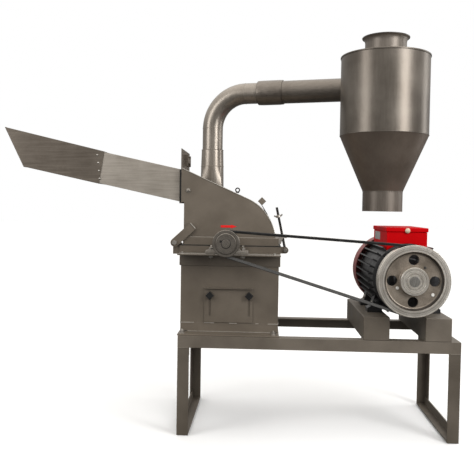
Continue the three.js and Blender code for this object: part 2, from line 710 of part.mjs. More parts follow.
// A row of hammers on one spacer tube, hanging from its pin.
function hammerBank() {
  const span = [ROTOR.front + ROTOR.discThickness + 1, ROTOR.rear - 1];
  const pitch = (span[1] - span[0]) / HAMMER.count;
  const hammers = Array.from({ length: HAMMER.count }, (_, i) => {
    const middle = span[0] + pitch * (i + 0.5);
    return block(
      [-HAMMER.width / 2, HAMMER.width / 2],
      [middle - HAMMER.thickness / 2, middle + HAMMER.thickness / 2],
      [-HAMMER.length, HAMMER.head],
    );
  });
  return cut(
    join(barY(HAMMER.tube, span, { sides: 8 }), ...hammers),
    barY(HAMMER.bore, [span[0] - 1, span[1] + 1], { sides: 8 }),
  );
}

// Half-profile of a V-belt rim between y0 and y1, from the front edge to the rear edge.
function grooveProfile(radius) {
  const { front, width, grooveDepth, grooveHalf, grooveAngle, pitch } = PULLEY;
  const floorHalf = grooveHalf - grooveDepth * Math.tan(grooveAngle);
  const middle = front + width / 2;
  const grooves = [middle - pitch / 2, middle + pitch / 2].flatMap((y) => [
    [radius, y - grooveHalf], [radius - grooveDepth, y - floorHalf],
    [radius - grooveDepth, y + floorHalf], [radius, y + grooveHalf],
  ]);
  return [[radius, front], ...grooves, [radius, front + width]];
}

function millPulley() {
  const bore = MILL_SHAFT.end + GAP;
  const { front, width } = PULLEY;
  const { radius, reach } = MILL_HUB;
  return turnedY([
    [bore, front - reach], [radius, front - reach], [radius, front],
    ...grooveProfile(MILL_PULLEY_RADIUS), [bore, front + width],
  ], 24);
}

function motorPulley() {
  const bore = MOTOR.shaft + GAP;
  const { front, width } = PULLEY;
  const { rim, rimTaper, hub, hubFront, hubRear, holes, holeRadius, holeCircle } = MOTOR_WEB;
  const rimInner = MOTOR_PULLEY_RADIUS - rim;
  const web = [front + MOTOR_WEB.front, front + MOTOR_WEB.rear];
  const hubEnds = [front - hubFront, front + width + hubRear];
  const profile = [
    [bore, hubEnds[0]], [hub, hubEnds[0]], [hub, web[0]], [rimInner - rimTaper, web[0]],
    [rimInner, front], ...grooveProfile(MOTOR_PULLEY_RADIUS), [rimInner, front + width],
    [rimInner - rimTaper, web[1]], [hub, web[1]], [hub, hubEnds[1]], [bore, hubEnds[1]],
  ];
  const cutters = Array.from({ length: holes }, (_, i) => {
    const turn = (i / holes) * 2 * Math.PI;
    const [x, z] = [holeCircle * Math.cos(turn), holeCircle * Math.sin(turn)];
    return barY(holeRadius, [front, front + width], { x, z, sides: 14 });
  });
  return cut(turnedY(profile, 36), ...cutters);
}

// A closed V-belt around the two pulleys, in the plane y, in the stand's frame.
function driveBelt(y) {
  const small = new THREE.Vector2(MILL.shaftX, MILL.shaftZ);
  const large = new THREE.Vector2(MOTOR.shaftX, MOTOR.shaftZ);
  const along = large.clone().sub(small);
  const heading = along.angle();
  const spread = Math.acos((MILL_PULLEY_RADIUS - MOTOR_PULLEY_RADIUS) / along.length());
  const wraps = [
    {
      centre: small, radius: MILL_PULLEY_RADIUS, steps: 10,
      from: heading + spread, to: heading + 2 * Math.PI - spread,
    },
    { centre: large, radius: MOTOR_PULLEY_RADIUS, steps: 18, from: heading - spread, to: heading + spread },
  ];
  const section = ({ centre, radius }, angle) => {
    const [c, s] = [Math.cos(angle), Math.sin(angle)];
    const corner = (r, dy) => new THREE.Vector3(centre.x + r * c, y + dy, centre.y + r * s);
    return [
      corner(radius, -BELT.halfTop), corner(radius, BELT.halfTop),
      corner(radius - BELT.height, BELT.halfBottom), corner(radius - BELT.height, -BELT.halfBottom),
    ];
  };
  const rings = wraps.flatMap((wrap) => Array.from({ length: wrap.steps + 1 }, (_, i) => (
    section(wrap, wrap.from + ((wrap.to - wrap.from) * i) / wrap.steps)
  )));
  return skin(rings, true);
}

// ---------------------------------------------------------------- blower

// Spiral casing outline, widening clockwise from the cut-off to the upright outlet.
function scroll(inset, outletTop) {
  const { start, end, cutoff, outletRight } = BLOWER;
  const steps = 28;
  const points = [[outletRight - inset, outletTop]];
  for (let i = 0; i <= steps; i += 1) {
    const turn = THREE.MathUtils.degToRad(cutoff - ((cutoff + 180) * i) / steps);
    const radius = start + ((end - start) * i) / steps - inset;
    points.push([radius * Math.cos(turn), radius * Math.sin(turn)]);
  }
  points.push([-end + inset, outletTop]);
  return outline(points);
}

function blowerHousing() {
  const { front, rear, wall, outletTop } = BLOWER;
  return cut(
    pushY(scroll(0, outletTop), [front, rear]),
    pushY(scroll(wall, outletTop + 5), [front + wall, rear + 5]),
    barY(SHAFT_HOLE, [front - 1, front + wall + 1]),
  );
}

function impeller() {
  const { radius, blades, back, front, plate, vaneHalf, hub, hubLead } = IMPELLER;
  const vane = () => block([hub - 4, radius], [back + plate - 2, front], [-vaneHalf, vaneHalf]);
  const vanes = Array.from({ length: blades }, (_, i) => vane().rotateY((i * 2 * Math.PI) / blades));
  return cut(
    join(
      barY(radius, [back, back + plate], { sides: 24 }),
      barY(hub, [back - hubLead, front]),
      ...vanes,
    ),
    barY(MILL_SHAFT.end + GAP, [back - 16, front + 8]),
  );
}

// The suction box closes the blower's rear and leads down and forward into the mill.
function suctionDuct() {
  const { left, right, bottom, roof, top, back, wall } = SUCTION;
  const mouth = MILL.rear + GAP;
  const face = BLOWER.rear + GAP;
  const elbow = (inset) => outline([
    [mouth - (inset ? 5 : 0), bottom + inset], [back - inset, bottom + inset], [back - inset, top - inset],
    [face + inset, top - inset], [face + inset, roof - inset], [mouth - (inset ? 5 : 0), roof - inset],
  ]);
  const cover = pushY(scroll(0, BLOWER.outletTop), [face, face + wall]);
  return cut(
    join(pushX(elbow(0), [left, right]), cover),
    pushX(elbow(wall), [left + wall, right - wall]),
    barY(IMPELLER.eye, [face - 1, face + wall + 1], { sides: 32 }),
  );
}

// ---------------------------------------------------------------- ducting

// Square-to-round transition above the blower outlet, ending in a round socket.
function riserBase() {
  const depth = BLOWER.rear - BLOWER.front;
  const width = BLOWER.outletRight + BLOWER.end;
  const rect = (inset, z) => Array.from({ length: 32 }, (_, i) => {
    const turn = ((i + 0.5) / 32) * 2 * Math.PI;
    const [c, s] = [Math.cos(turn), Math.sin(turn)];
    const reach = Math.min((width / 2 - inset) / Math.abs(c), (depth / 2 - inset) / Math.abs(s));
    return new THREE.Vector3(reach * c, reach * s, z);
  });
  const round = (radius, z) => Array.from({ length: 32 }, (_, i) => {
    const turn = ((i + 0.5) / 32) * 2 * Math.PI;
    return new THREE.Vector3(radius * Math.cos(turn), radius * Math.sin(turn), z);
  });
  const { bottom, throat, socketTop, socket, mouth, wall } = RISER;
  return cut(
    skin([rect(0, bottom), round(socket, throat), round(mouth, socketTop)]),
    skin([rect(wall, bottom - 1), round(socket - wall - 1, throat), round(mouth - wall, socketTop + 1)]),
  );
}

function bentPipe(radius, overrun) {
  const side = new THREE.Vector3(0, 1, 0);
  const start = new THREE.Vector3(0, 0, RISER.pipeStart - overrun);
  const rings = [ringAround(start, side, new THREE.Vector3(-1, 0, 0), radius, PIPE_SIDES)];
  const steps = 8;
  for (let i = 0; i <= steps; i += 1) {
    const turn = (i / steps) * (Math.PI / 2);
    const outward = new THREE.Vector3(-Math.cos(turn), 0, Math.sin(turn));
    const centre = new THREE.Vector3(DUCT.bend, 0, DUCT.height - DUCT.bend).addScaledVector(outward, DUCT.bend);
    rings.push(ringAround(centre, side, outward, radius, PIPE_SIDES));
  }
  const end = new THREE.Vector3(SLEEVE.pipeEnd + overrun, 0, DUCT.height);
  rings.push(ringAround(end, side, new THREE.Vector3(0, 0, 1), radius, PIPE_SIDES));
  return skin(rings);
}

const riserElbow = () => cut(bentPipe(RISER.pipe, 0), bentPipe(RISER.pipe - RISER.wall, 3));

// The cross duct starts in a wide sleeve over the elbow and is coped to the cyclone's wall.
function crossDuct() {
  const { start, radius, wall } = CROSS;
  const end = CYCLONE.x - 30;
  const z = DUCT.height;
  const bore = barX(radius - wall, [start - 1, end + 5], { z, sides: PIPE_SIDES });
  const body = barZ(CYCLONE.radius + GAP, [CYCLONE.seam, CYCLONE.top], {
    x: CYCLONE.x, y: CYCLONE.y, sides: 48,
  });
  const tube = cut(barX(radius, [start, end], { z, sides: PIPE_SIDES }), bore, body);
  const sleeve = turnedY([
    [RISER.pipe + 1, SLEEVE.start], [SLEEVE.radius - SLEEVE.lead, SLEEVE.start],
    [SLEEVE.radius, SLEEVE.flared], [SLEEVE.radius, SLEEVE.end], [radius - 2, SLEEVE.end],
    [radius - 2, start - 10], [RISER.pipe + 1, start - 12],
  ], PIPE_SIDES);
  return join(tube, sleeve.rotateZ(-Math.PI / 2).translate(0, 0, z));
}

function cycloneBody() {
  const { radius, wall, top, seam, coneBottom, spout } = CYCLONE;
  const shell = turnedZ([
    [radius, top], [radius, seam], [spout, coneBottom], [spout - wall, coneBottom],
    [radius - wall, seam], [radius - wall, top],
  ], 48);
  const inlet = barX(CROSS.radius - CROSS.wall, [-radius - 20, 0], {
    y: -CYCLONE.y, z: DUCT.height, sides: PIPE_SIDES,
  });
  return cut(shell, inlet);
}

function cycloneRoof() {
  const { top, collar, collarWall, collarTop, flareStart, flare, finderBottom } = CYCLONE;
  const inner = collar - collarWall;
  const edge = CYCLONE.radius + CYCLONE.roofOverhang;
  const upper = top + CYCLONE.roofThickness;
  return turnedZ([
    [inner, finderBottom], [collar, finderBottom], [collar, top + GAP], [edge, top + GAP],
    [edge, upper], [collar, upper], [collar, flareStart], [flare, collarTop - 4],
    [flare, collarTop], [flare - 4, collarTop], [inner, flareStart],
  ], 32);
}

function cycloneSpout() {
  const { spout, spoutBottom, coneBottom, wall } = CYCLONE;
  const top = coneBottom - GAP;
  return turnedZ([
    [spout, top], [spout, spoutBottom], [spout - wall, spoutBottom], [spout - wall, top],
  ], 32);
}

// ---------------------------------------------------------------- motor

function finnedOutline() {
  const { core, finTip, fins, finWidth } = MOTOR;
  const points = [];
  for (let i = 0; i < fins; i += 1) {
    const middle = ((i + 0.5) / fins) * 2 * Math.PI;
    for (const [radius, side] of [[core, -1], [finTip, -1], [finTip, 1], [core, 1]]) {
      const turn = middle + (side * finWidth) / 2 / radius;
      points.push([radius * Math.cos(turn), radius * Math.sin(turn)]);
    }
  }
  return outline(points);
}

// The fins are cut away to the core under the terminal box.
function motorFrame() {
  const { front, rear, core, shaftHeight, finTip } = MOTOR;
  const { starts, length, half, trim, shape } = MOTOR_FOOT;
  const soleZ = -shaftHeight + GAP;
  const { clearance } = BOX;
  const saddle = cut(
    block([BOX.left - clearance, BOX.right + clearance], [front - 1, BOX.rear + clearance], [0, finTip + 30]),
    barY(core, [front - 2, rear], { sides: 64 }),
  );
  const finned = cut(
    pushY(finnedOutline(), [front, rear]),
    block([-half, half], [front - 1, rear + 1], [-finTip - 30, trim - shaftHeight]),
    saddle,
  );
  const feet = starts.flatMap((y) => [-1, 1].map((side) => (
    pushY(outline(shape.map(([reach, rise]) => [side * reach, soleZ + rise])), [y, y + length])
  )));
  return cut(
    join(finned, ...feet),
    barY(MOTOR.stator, [front - 1, rear - 14], { sides: 32 }),
    boreY(MOTOR.shaft, [rear - 20, rear + 1]),
  );
}

function motorEndShield() {
  const { shaft, shield, front, shieldRadius } = MOTOR;
  const { hub, hubReach, dish, shoulder, shoulderRise, rimInset, rimRise, edgeRise } = END_SHIELD;
  return turnedY([
    [shaft + GAP, shield - hubReach], [hub, shield - hubReach], [dish, shield],
    [shoulder, shield + shoulderRise], [shieldRadius - rimInset, shield + rimRise],
    [shieldRadius, shield + edgeRise], [shieldRadius, front - GAP], [shaft + GAP, front - GAP],
  ], 32);
}

function fanCowl() {
  const { cowl, rear, cowlRear } = MOTOR;
  const { wall, crown, shoulder, shoulderDepth, skirtDepth, innerDepth } = FAN_COWL;
  const skirt = cowlRear - skirtDepth;
  return turnedY([
    [0, cowlRear], [cowl - crown, cowlRear], [cowl - shoulder, cowlRear - shoulderDepth], [cowl, skirt],
    [cowl, rear + GAP], [cowl - wall, rear + GAP], [cowl - wall, skirt],
    [cowl - 3 * wall, cowlRear - innerDepth], [cowl - crown, cowlRear - wall], [0, cowlRear - wall],
  ], 32);
}

function motorRotor() {
  const { shaft, coreRadius, coreFront, coreRear } = MOTOR;
  const { radius, hub, front, back, rear } = FAN;
  const shaftFront = PULLEY.front - 10;
  const vanes = Array.from({ length: FAN.vanes }, (_, i) => (
    block([hub - 10, radius], [front - 2, rear], [-2, 2]).rotateY((i * 2 * Math.PI) / FAN.vanes)
  ));
  return join(
    turnedY([
      [0, shaftFront], [shaft, shaftFront], [shaft, coreFront], [coreRadius, coreFront],
      [coreRadius, coreRear], [shaft, coreRear], [shaft, front - 8], [hub, front - 8], [hub, front],
      [radius, front], [radius, back], [hub, back], [hub, rear], [0, rear],
    ], 20),
    ...vanes,
  );
}

function terminalBox() {
  const { left, right, front, rear, bottom, split, wall } = BOX;
  const barrel = boreY(MOTOR.core, [front - 10, rear + 10], { sides: 64 });
  return cut(
    block([left, right], [front, rear], [bottom, split - GAP]),
    block([left + wall, right - wall], [front + wall, rear - wall], [bottom - 1, split + 1]),
    barrel,
  );
}

function terminalBoxLid() {
  const { left, right, front, rear, split, top, wall, lip } = BOX;
  return cut(
    block([left - lip, right + lip], [front - lip, rear + lip], [split, top]),
    block([left + wall, right - wall], [front + wall, rear - wall], [split - 1, top - wall]),
  );
}

// ---------------------------------------------------------------- assemblies

function millBody() {
  return [
    mesh('mill_base', millBase(), PAINT),
    mesh('lower_casing', lowerCasing(), PAINT),
    mesh('bearing_shelf_front', bearingShelf(-1), PAINT_LIGHT),
    mesh('bearing_shelf_rear', bearingShelf(1), PAINT_LIGHT),
    mesh('pillow_block_front', pillowBlock(), IRON, { y: FRONT_BEARING_Y }),
    mesh('pillow_block_rear', pillowBlock(), IRON, { y: REAR_BEARING_Y }),
    mesh('sieve_screen', screen(), STEEL),
    mesh('damper_plate', damperPlate(), PAINT),
    ...DAMPER.slotX.map((x, i) => mesh(`damper_knob_${i ? 'right' : 'left'}`, damperKnob(), BLACK_PLASTIC, {
      x, y: MILL.front - DAMPER.thickness - KNOB.depth - 2 * GAP, z: DAMPER_STUD.z,
    })),
  ];
}

function cover() {
  const roofZ = (x) => {
    const touch = Math.PI / 2 - COVER.slope;
    return COVER.radius * Math.sin(touch) + Math.tan(COVER.slope) * (COVER.radius * Math.cos(touch) - x);
  };
  return [
    mesh('upper_casing', upperCasing(), PAINT),
    mesh('hinge_arm_front', hingeArm(), PAINT, {
      x: HINGE.x, y: MILL.front - MILL.flangeReach - HINGE.armThickness - GAP, z: HINGE.z,
    }),
    mesh('hinge_arm_rear', hingeArm(), PAINT, {
      x: HINGE.x, y: MILL.rear + MILL.flangeReach + GAP, z: HINGE.z,
    }),
    mesh('cover_hinge_pin', hingePin(), STEEL, { x: HINGE.x, z: HINGE.z }),
    mesh('lifting_eye', liftingEye(), STEEL, {
      x: LIFTING_EYE.x, y: LIFTING_EYE.y, z: roofZ(LIFTING_EYE.x) + 4,
    }),
    mesh('cover_catch', coverCatch(), PAINT, { y: CATCH.y }),
    mesh('feed_chute_inner', innerChute(), SHEET),
    mesh('feed_chute_outer', outerChute(), DUCTING),
    mesh('feed_gate', feedGate(), DUCTING, { x: GATE.x, z: COVER.throatFloor + 1 + GAP }),
    mesh('swing_bolt', swingBolt(), STEEL, { x: SWING.x, y: MILL_MIDDLE, z: SWING.z }),
    mesh('wing_nut', wingNut(), STEEL, { x: SWING.x, y: MILL_MIDDLE, z: SWING.z }),
  ];
}

function rotor() {
  return [
    mesh('mill_shaft', millShaft(), STEEL),
    mesh('rotor_disc_front', rotorDisc(), STEEL, { y: ROTOR.front }),
    mesh('rotor_disc_rear', rotorDisc(), STEEL, { y: ROTOR.rear }),
    ...pinAngles.map((angle, i) => mesh(`hammer_pin_${i + 1}`, hammerPin(), STEEL, pinPlace(angle))),
    ...pinAngles.map((angle, i) => mesh(`hammer_bank_${i + 1}`, hammerBank(), STEEL, pinPlace(angle))),
    mesh('mill_pulley', millPulley(), MACHINED),
    mesh('blower_impeller', impeller(), PAINT_LIGHT),
  ];
}

function blower() {
  return [
    mesh('blower_housing', blowerHousing(), PAINT),
    mesh('suction_duct', suctionDuct(), PAINT),
  ];
}

const mill = () => group(
  [...millBody(), ...cover(), ...rotor(), ...blower()],
  { x: MILL.shaftX, z: MILL.shaftZ },
);

function ducting() {
  const run = group([
    mesh('riser_elbow', riserElbow(), DUCTING),
    mesh('cross_duct', crossDuct(), DUCTING),
    group([
      mesh('cyclone_body', cycloneBody(), DUCTING),
      mesh('cyclone_roof', cycloneRoof(), DUCTING),
      mesh('cyclone_spout', cycloneSpout(), DUCTING),
    ], { x: CYCLONE.x, y: CYCLONE.y }),
  ], { turn: DUCT.turn });
  return group([mesh('riser_base', riserBase(), DUCTING), run], { x: DUCT.x, y: DUCT.y });
}

const drive = () => group([
  mesh('motor_frame', motorFrame(), BLACK_ENAMEL),
  mesh('motor_end_shield', motorEndShield(), BLACK_ENAMEL),
  mesh('fan_cowl', fanCowl(), DULL_RED),
  mesh('motor_rotor', motorRotor(), STEEL),
  mesh('motor_pulley', motorPulley(), MACHINED),
  mesh('terminal_box', terminalBox(), BRIGHT_RED),
  mesh('terminal_box_lid', terminalBoxLid(), BRIGHT_RED),
], { x: MOTOR.shaftX, z: MOTOR.shaftZ });

function belts() {
  const middle = PULLEY.front + PULLEY.width / 2;
  return [
    mesh('drive_belt_front', driveBelt(middle - PULLEY.pitch / 2), RUBBER),
    mesh('drive_belt_rear', driveBelt(middle + PULLEY.pitch / 2), RUBBER),
  ];
}

const hammerMill = group([stand(), mill(), ducting(), drive(), ...belts()]);
hammerMill.updateMatrixWorld(true);
const box = new THREE.Box3().setFromObject(hammerMill, true);
const centre = box.getCenter(new THREE.Vector3());
hammerMill.position.set(-centre.x, -centre.y, -box.min.z);

export default hammerMill;
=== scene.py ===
import json
from math import acos, atan2, cos, degrees, hypot, pi, radians, sin, sqrt, tan

import bmesh
import bpy
from mathutils import Matrix, Vector


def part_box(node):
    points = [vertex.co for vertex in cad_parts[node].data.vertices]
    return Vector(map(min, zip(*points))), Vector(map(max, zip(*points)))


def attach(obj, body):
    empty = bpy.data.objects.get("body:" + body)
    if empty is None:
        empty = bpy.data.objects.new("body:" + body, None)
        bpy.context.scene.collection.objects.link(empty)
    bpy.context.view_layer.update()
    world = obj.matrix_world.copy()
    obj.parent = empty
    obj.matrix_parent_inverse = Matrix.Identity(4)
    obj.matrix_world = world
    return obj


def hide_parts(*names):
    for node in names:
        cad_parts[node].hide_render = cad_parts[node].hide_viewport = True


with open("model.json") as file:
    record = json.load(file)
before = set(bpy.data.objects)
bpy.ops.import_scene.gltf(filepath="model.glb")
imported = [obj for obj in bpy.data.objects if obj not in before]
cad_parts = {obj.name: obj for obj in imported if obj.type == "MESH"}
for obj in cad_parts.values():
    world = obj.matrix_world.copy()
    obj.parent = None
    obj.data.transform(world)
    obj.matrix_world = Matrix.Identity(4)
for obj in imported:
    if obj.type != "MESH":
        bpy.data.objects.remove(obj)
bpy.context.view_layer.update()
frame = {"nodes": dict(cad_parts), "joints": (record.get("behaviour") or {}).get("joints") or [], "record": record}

# Hammer mill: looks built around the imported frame. Lengths inside the functions are in
# millimetres, measured from an axis or a corner of the frame, and place() turns them into metres.

MM = 0.001
X, Y, Z = Vector((1, 0, 0)), Vector((0, 1, 0)), Vector((0, 0, 1))
SMOOTH_UNDER = radians(33)
BEVEL_OVER = radians(28)
ROUND = 96

RECORD = frame["record"]
BODY_OF = {node: body for body, nodes in RECORD["behaviour"]["bodies"].items() for node in nodes}
SLOT_OF = {row["node"]: row["material_slot"] for row in RECORD["subparts"]}
JOINT_AT = {joint["name"]: joint["pos_m"] for joint in frame["joints"] if joint.get("pos_m")}

STAND_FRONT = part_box("stand_top_frame")[0].y


def axis_point(joint):
    """Where a joint's axis along Y crosses the stand's front plane."""
    x, _, z = JOINT_AT[joint]
    return Vector((x, STAND_FRONT, z))


MILL = axis_point("mill_spin")
MOTOR = axis_point("motor_spin")


# Mill, from its shaft's axis and the stand's front plane.
CASING_LEFT, CASING_RIGHT, CASING_FRONT, CASING_REAR = -205, 225, 85, 440
BAND_REACH = 6
# The rubber between the casings is drawn taller than the gap, so it also stands as painted shade under the band.
GASKET_AND_SHADE_SPAN = (-17.8, -14.2)  # heights of the rubber between the two casings
SHAFT_CLEAR = 26  # half the break in whatever crosses the shaft
COVER_RADIUS, COVER_SLOPE, THROAT_X, COVER_BAND_TOP = 208, radians(24), -208, 20
HINGE_X, HINGE_Z, ARM_LENGTH, ARM_ANGLE, ARM_THICKNESS = -233, -6, 109, 0.747, 8
FORK_X, FORK_Z, BOLT_LEAN, NUT_UP = 257, -43, 0.213, 154
CHUTE_RIGHT, CHUTE_FLOOR, CHUTE_HEIGHT, CHUTE_RISE, MOUTH_RISE, CHUTE_LAP = -218, 174, 143, 0.21, 0.23, 2.8
MOUTH_TOP, MOUTH_BOTTOM, CHUTE_JOINT = -1004, -919, -557

# Belt drive: both pulleys have the same width and grooves.
PULLEY_FRONT, PULLEY_WIDTH, PULLEY_PITCH = -58, 44, 20
MILL_PULLEY, MOTOR_PULLEY = 57, 150
GROOVE_DEPTH, GROOVE_HALF, GROOVE_FLOOR = 13.5, 8.8, 4.1
RIM, HUB, WEB_FRONT, WEB_REAR, WEB_HOLE, WEB_CIRCLE = 122, 58, 18, 32, 22, 88

# Motor, from its shaft's axis and the stand's front plane.
SHIELD_EDGE, SHIELD_REAR, SHAFT_BORE = 150, 77.7, 21.3
COWL_RADIUS, COWL_CROWN, COWL_REAR, COWL_FRONT = 172, 22, 560, 440.3

# Blower, from the mill's axis and the stand's front plane; angles in degrees.
SCROLL_START, SCROLL_END, SCROLL_CUTOFF, OUTLET_RIGHT, OUTLET_TOP = 148, 172, 112, -52, 168
BLOWER_FRONT, BLOWER_REAR, BLOWER_WALL = 515, 609, 4
SUCTION_FRONT, SUCTION_BACK, SUCTION_LOW, SUCTION_HIGH, SUCTION_ROOF = 440.3, 690, -352, 100, -232
COVER_FACE, COVER_BACK, EYE = 609.3, 613.3, 75

# Ducting and cyclone, with heights from the floor.
PIPE, PIPE_BORE, BEND, PIPE_LOW, PIPE_END = 51, 48.5, 173, 1240, 306
BASE_LOW, BASE_THROAT, BASE_TOP, SOCKET, SOCKET_END, SHEET = 1000.3, 1190, 1275, 57, 54.7, 2.5
CROSS_RADIUS, CROSS_BORE, CROSS_START = 55, 52.5, 320
SLEEVE, SLEEVE_START, SLEEVE_END = 60, 240, 366
BARREL_TOP, SEAM, CONE_LOW, SPOUT_LOW, SPOUT_RADIUS, SPOUT_BORE = 1662, 1314, 1065, 976, 88.5, 85.5
COLLAR_RADIUS, COLLAR_TOP, FLARE_START, FLARE = 91.5, 1752, 1724, 105


# ------------------------------------------------------------------ mesh kit

def placer(origin, side=X, up=Z, out=Y):
    """A function that turns (across, up, out) in millimetres into a point of the row frame."""
    def place(u, v, h):
        return origin + (side * u + up * v + out * h) * MM
    return place


def mm(origin, x, y, z):
    """The point x, y, z millimetres from an origin."""
    return origin + Vector((x, y, z)) * MM


def loft(bm, rings, closed=False):
    """Faces between rings of points with equal counts, capped or closed on themselves."""
    made = [[bm.verts.new(point) for point in ring] for ring in rings]
    count = len(made[0])
    pairs = list(zip(made, made[1:]))
    if closed:
        pairs.append((made[-1], made[0]))
    for here, there in pairs:
        for i in range(count):
            j = (i + 1) % count
            bm.faces.new((here[i], here[j], there[j], there[i]))
    if not closed:
        bm.faces.new(made[0][::-1])
        bm.faces.new(made[-1])


def lathe(bm, profile, place, sides=ROUND):
    """Turns (radius, height) points about the out direction; closed on itself or on the axis."""
    rings = []
    for radius, height in profile:
        if radius < 1e-6:
            rings.append([bm.verts.new(place(0, 0, height))])
            continue
        around = [2 * pi * (i + 0.5) / sides for i in range(sides)]
        rings.append([bm.verts.new(place(radius * cos(t), radius * sin(t), height)) for t in around])
    pairs = list(zip(rings, rings[1:]))
    if len(rings[0]) > 1 or len(rings[-1]) > 1:
        pairs.append((rings[-1], rings[0]))
    for here, there in pairs:
        for i in range(sides):
            j = (i + 1) % sides
            corners = [here[i % len(here)], here[j % len(here)], there[j % len(there)],
                       there[i % len(there)]]
            corners = list(dict.fromkeys(corners))
            if len(corners) > 2:
                bm.faces.new(corners)


def plug(radius, low, high):
    """Profile of a plain round cutter."""
    return [(0, low), (radius, low), (radius, high), (0, high)]


def prism(bm, outline, place, low, high):
    """An outline of (across, up) points pushed along the out direction."""
    loft(bm, [[place(u, v, h) for u, v in outline] for h in (low, high)])


def slab(bm, place, across, up, out):
    """A rectangular block from three (low, high) spans."""
    corners = [(across[0], up[0]), (across[1], up[0]), (across[1], up[1]), (across[0], up[1])]
    prism(bm, corners, place, *out)


def arc(radius, start, end, steps, centre=(0, 0)):
    """Points on a round stretch, with angles in degrees."""
    stops = [radians(start + (end - start) * i / steps) for i in range(steps + 1)]
    return [(centre[0] + radius * cos(t), centre[1] + radius * sin(t)) for t in stops]


def turns(count):
    """Evenly spaced angles once round."""
    return [2 * pi * k / count for k in range(count)]


def quarter(steps):
    """Evenly spaced angles from nothing to a right angle."""
    return [pi / 2 * i / steps for i in range(steps + 1)]


def spoke(turn):
    """The direction at an angle about an axis along Y."""
    return Vector((cos(turn), 0, sin(turn)))


def hoop(centre, radius, height, count):
    """Points of a level circle."""
    return [centre + Vector((radius * cos(t), radius * sin(t), height)) * MM for t in turns(count)]


def soften(bm, width, segments=2):
    """Rounds every sharp edge by a width in millimetres."""
    bmesh.ops.remove_doubles(bm, verts=bm.verts, dist=1e-6)
    bmesh.ops.dissolve_limit(bm, angle_limit=radians(1), verts=bm.verts, edges=bm.edges)
    bmesh.ops.recalc_face_normals(bm, faces=bm.faces)
    edges = [e for e in bm.edges if e.is_manifold and e.calc_face_angle(0) > BEVEL_OVER]
    bmesh.ops.bevel(bm, geom=edges, offset=width * MM, segments=segments, profile=0.5,
                    affect="EDGES", clamp_overlap=True)


def finish_piece(obj, material, body, slot, replaces):
    obj.data.materials.clear()
    obj.data.materials.append(material)
    obj.data.shade_smooth()
    obj.data.set_sharp_from_angle(angle=SMOOTH_UNDER)
    weighted = obj.modifiers.new("even_shading", "WEIGHTED_NORMAL")
    weighted.keep_sharp = True
    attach(obj, body)
    if replaces:
        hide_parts(*replaces)
    return obj


def to_object(name, bm):
    bmesh.ops.recalc_face_normals(bm, faces=bm.faces)
    data = bpy.data.meshes.new(name)
    bm.to_mesh(data)
    bm.free()
    obj = bpy.data.objects.new(name, data)
    bpy.context.scene.collection.objects.link(obj)
    return obj


def piece(name, bm, material, body, slot=None, replaces=()):
    return finish_piece(to_object(name, bm), material, body, slot, replaces)


def stand_in(node, bm, material):
    """A finely made piece that is shown in place of one CAD node."""
    return piece(f"{node}_skin", bm, material, BODY_OF[node], SLOT_OF[node], (node,))


def carve(bm, *tools):
    """Cuts closed tool meshes out of a closed mesh and returns the rest."""
    base = to_object("carve_base", bm)
    cutters = [to_object("carve_tool", tool) for tool in tools]
    for cutter in cutters:
        cut = base.modifiers.new("cut", "BOOLEAN")
        cut.operation = "DIFFERENCE"
        cut.solver = "EXACT"
        cut.object = cutter
    bpy.context.view_layer.update()
    shown = base.evaluated_get(bpy.context.evaluated_depsgraph_get())
    result = bmesh.new()
    result.from_mesh(shown.to_mesh())
    shown.to_mesh_clear()
    for obj in (base, *cutters):
        bpy.data.objects.remove(obj)
    return result


def refine(node, material, width, segments=2):
    """A copy of a CAD node's shape with its sharp edges rounded, shown in its place."""
    bm = bmesh.new()
    bm.from_mesh(frame["nodes"][node].data)
    soften(bm, width, segments)
    return stand_in(node, bm, material)


def recolour(obj, material, chosen):
    """Gives another material to the faces that a test picks by centre and normal."""
    obj.data.materials.append(material)
    added = len(obj.data.materials) - 1
    for face in obj.data.polygons:
        if chosen(face.center, face.normal):
            face.material_index = added


def hex_bolt(bm, origin, out, flat=13, head=7, washer=0, shank=0):
    """A hexagon head, with its washer below and any bare shank standing out above it."""
    side = out.orthogonal().normalized()
    place = placer(origin, side, out.cross(side), out)
    base = 0
    if washer:
        lathe(bm, [(0, 0), (washer, 0), (washer, 1.6), (washer - 0.4, 2), (0, 2)], place, 32)
        base = 2
    corner = flat / sqrt(3)
    top = base + head
    lathe(bm, [(0, base), (corner, base), (corner, top - 1), (corner * 0.87, top), (0, top)], place, 6)
    if shank:
        threaded(bm, place, flat * 0.3, top, top + shank)


def threaded(bm, place, radius, low, high, pitch=1.75):
    """A threaded rod, its thread drawn as close rings."""
    crests = max(2, round((high - low) / pitch))
    profile = [(0, low), (radius * 0.88, low)]
    for i in range(crests):
        base = low + (high - low) * i / crests
        profile += [(radius, base + pitch * 0.5), (radius * 0.88, base + pitch * 0.95)]
    lathe(bm, profile + [(radius * 0.7, high + 0.6), (0, high + 0.6)], place, 24)


def weld(bm, start, end, radius=2.6, side=None):
    """A rippled weld bead between two points of the row frame."""
    along = end - start
    steps = max(6, round(along.length / (1.3 * MM)))
    heading = along.normalized()
    across = (side or heading.orthogonal()).normalized()
    up = heading.cross(across)
    rings = []
    for i in range(steps + 1):
        ripple = 0.78 + 0.22 * abs(sin(i * 0.75)) + 0.06 * sin(i * 0.31)
        size = radius * MM * (0.35 if i in (0, steps) else ripple)
        centre = start + along * (i / steps)
        rings.append([centre + (across * cos(t) + up * sin(t)) * size for t in turns(8)])
    loft(bm, rings)


# ------------------------------------------------------------------ materials

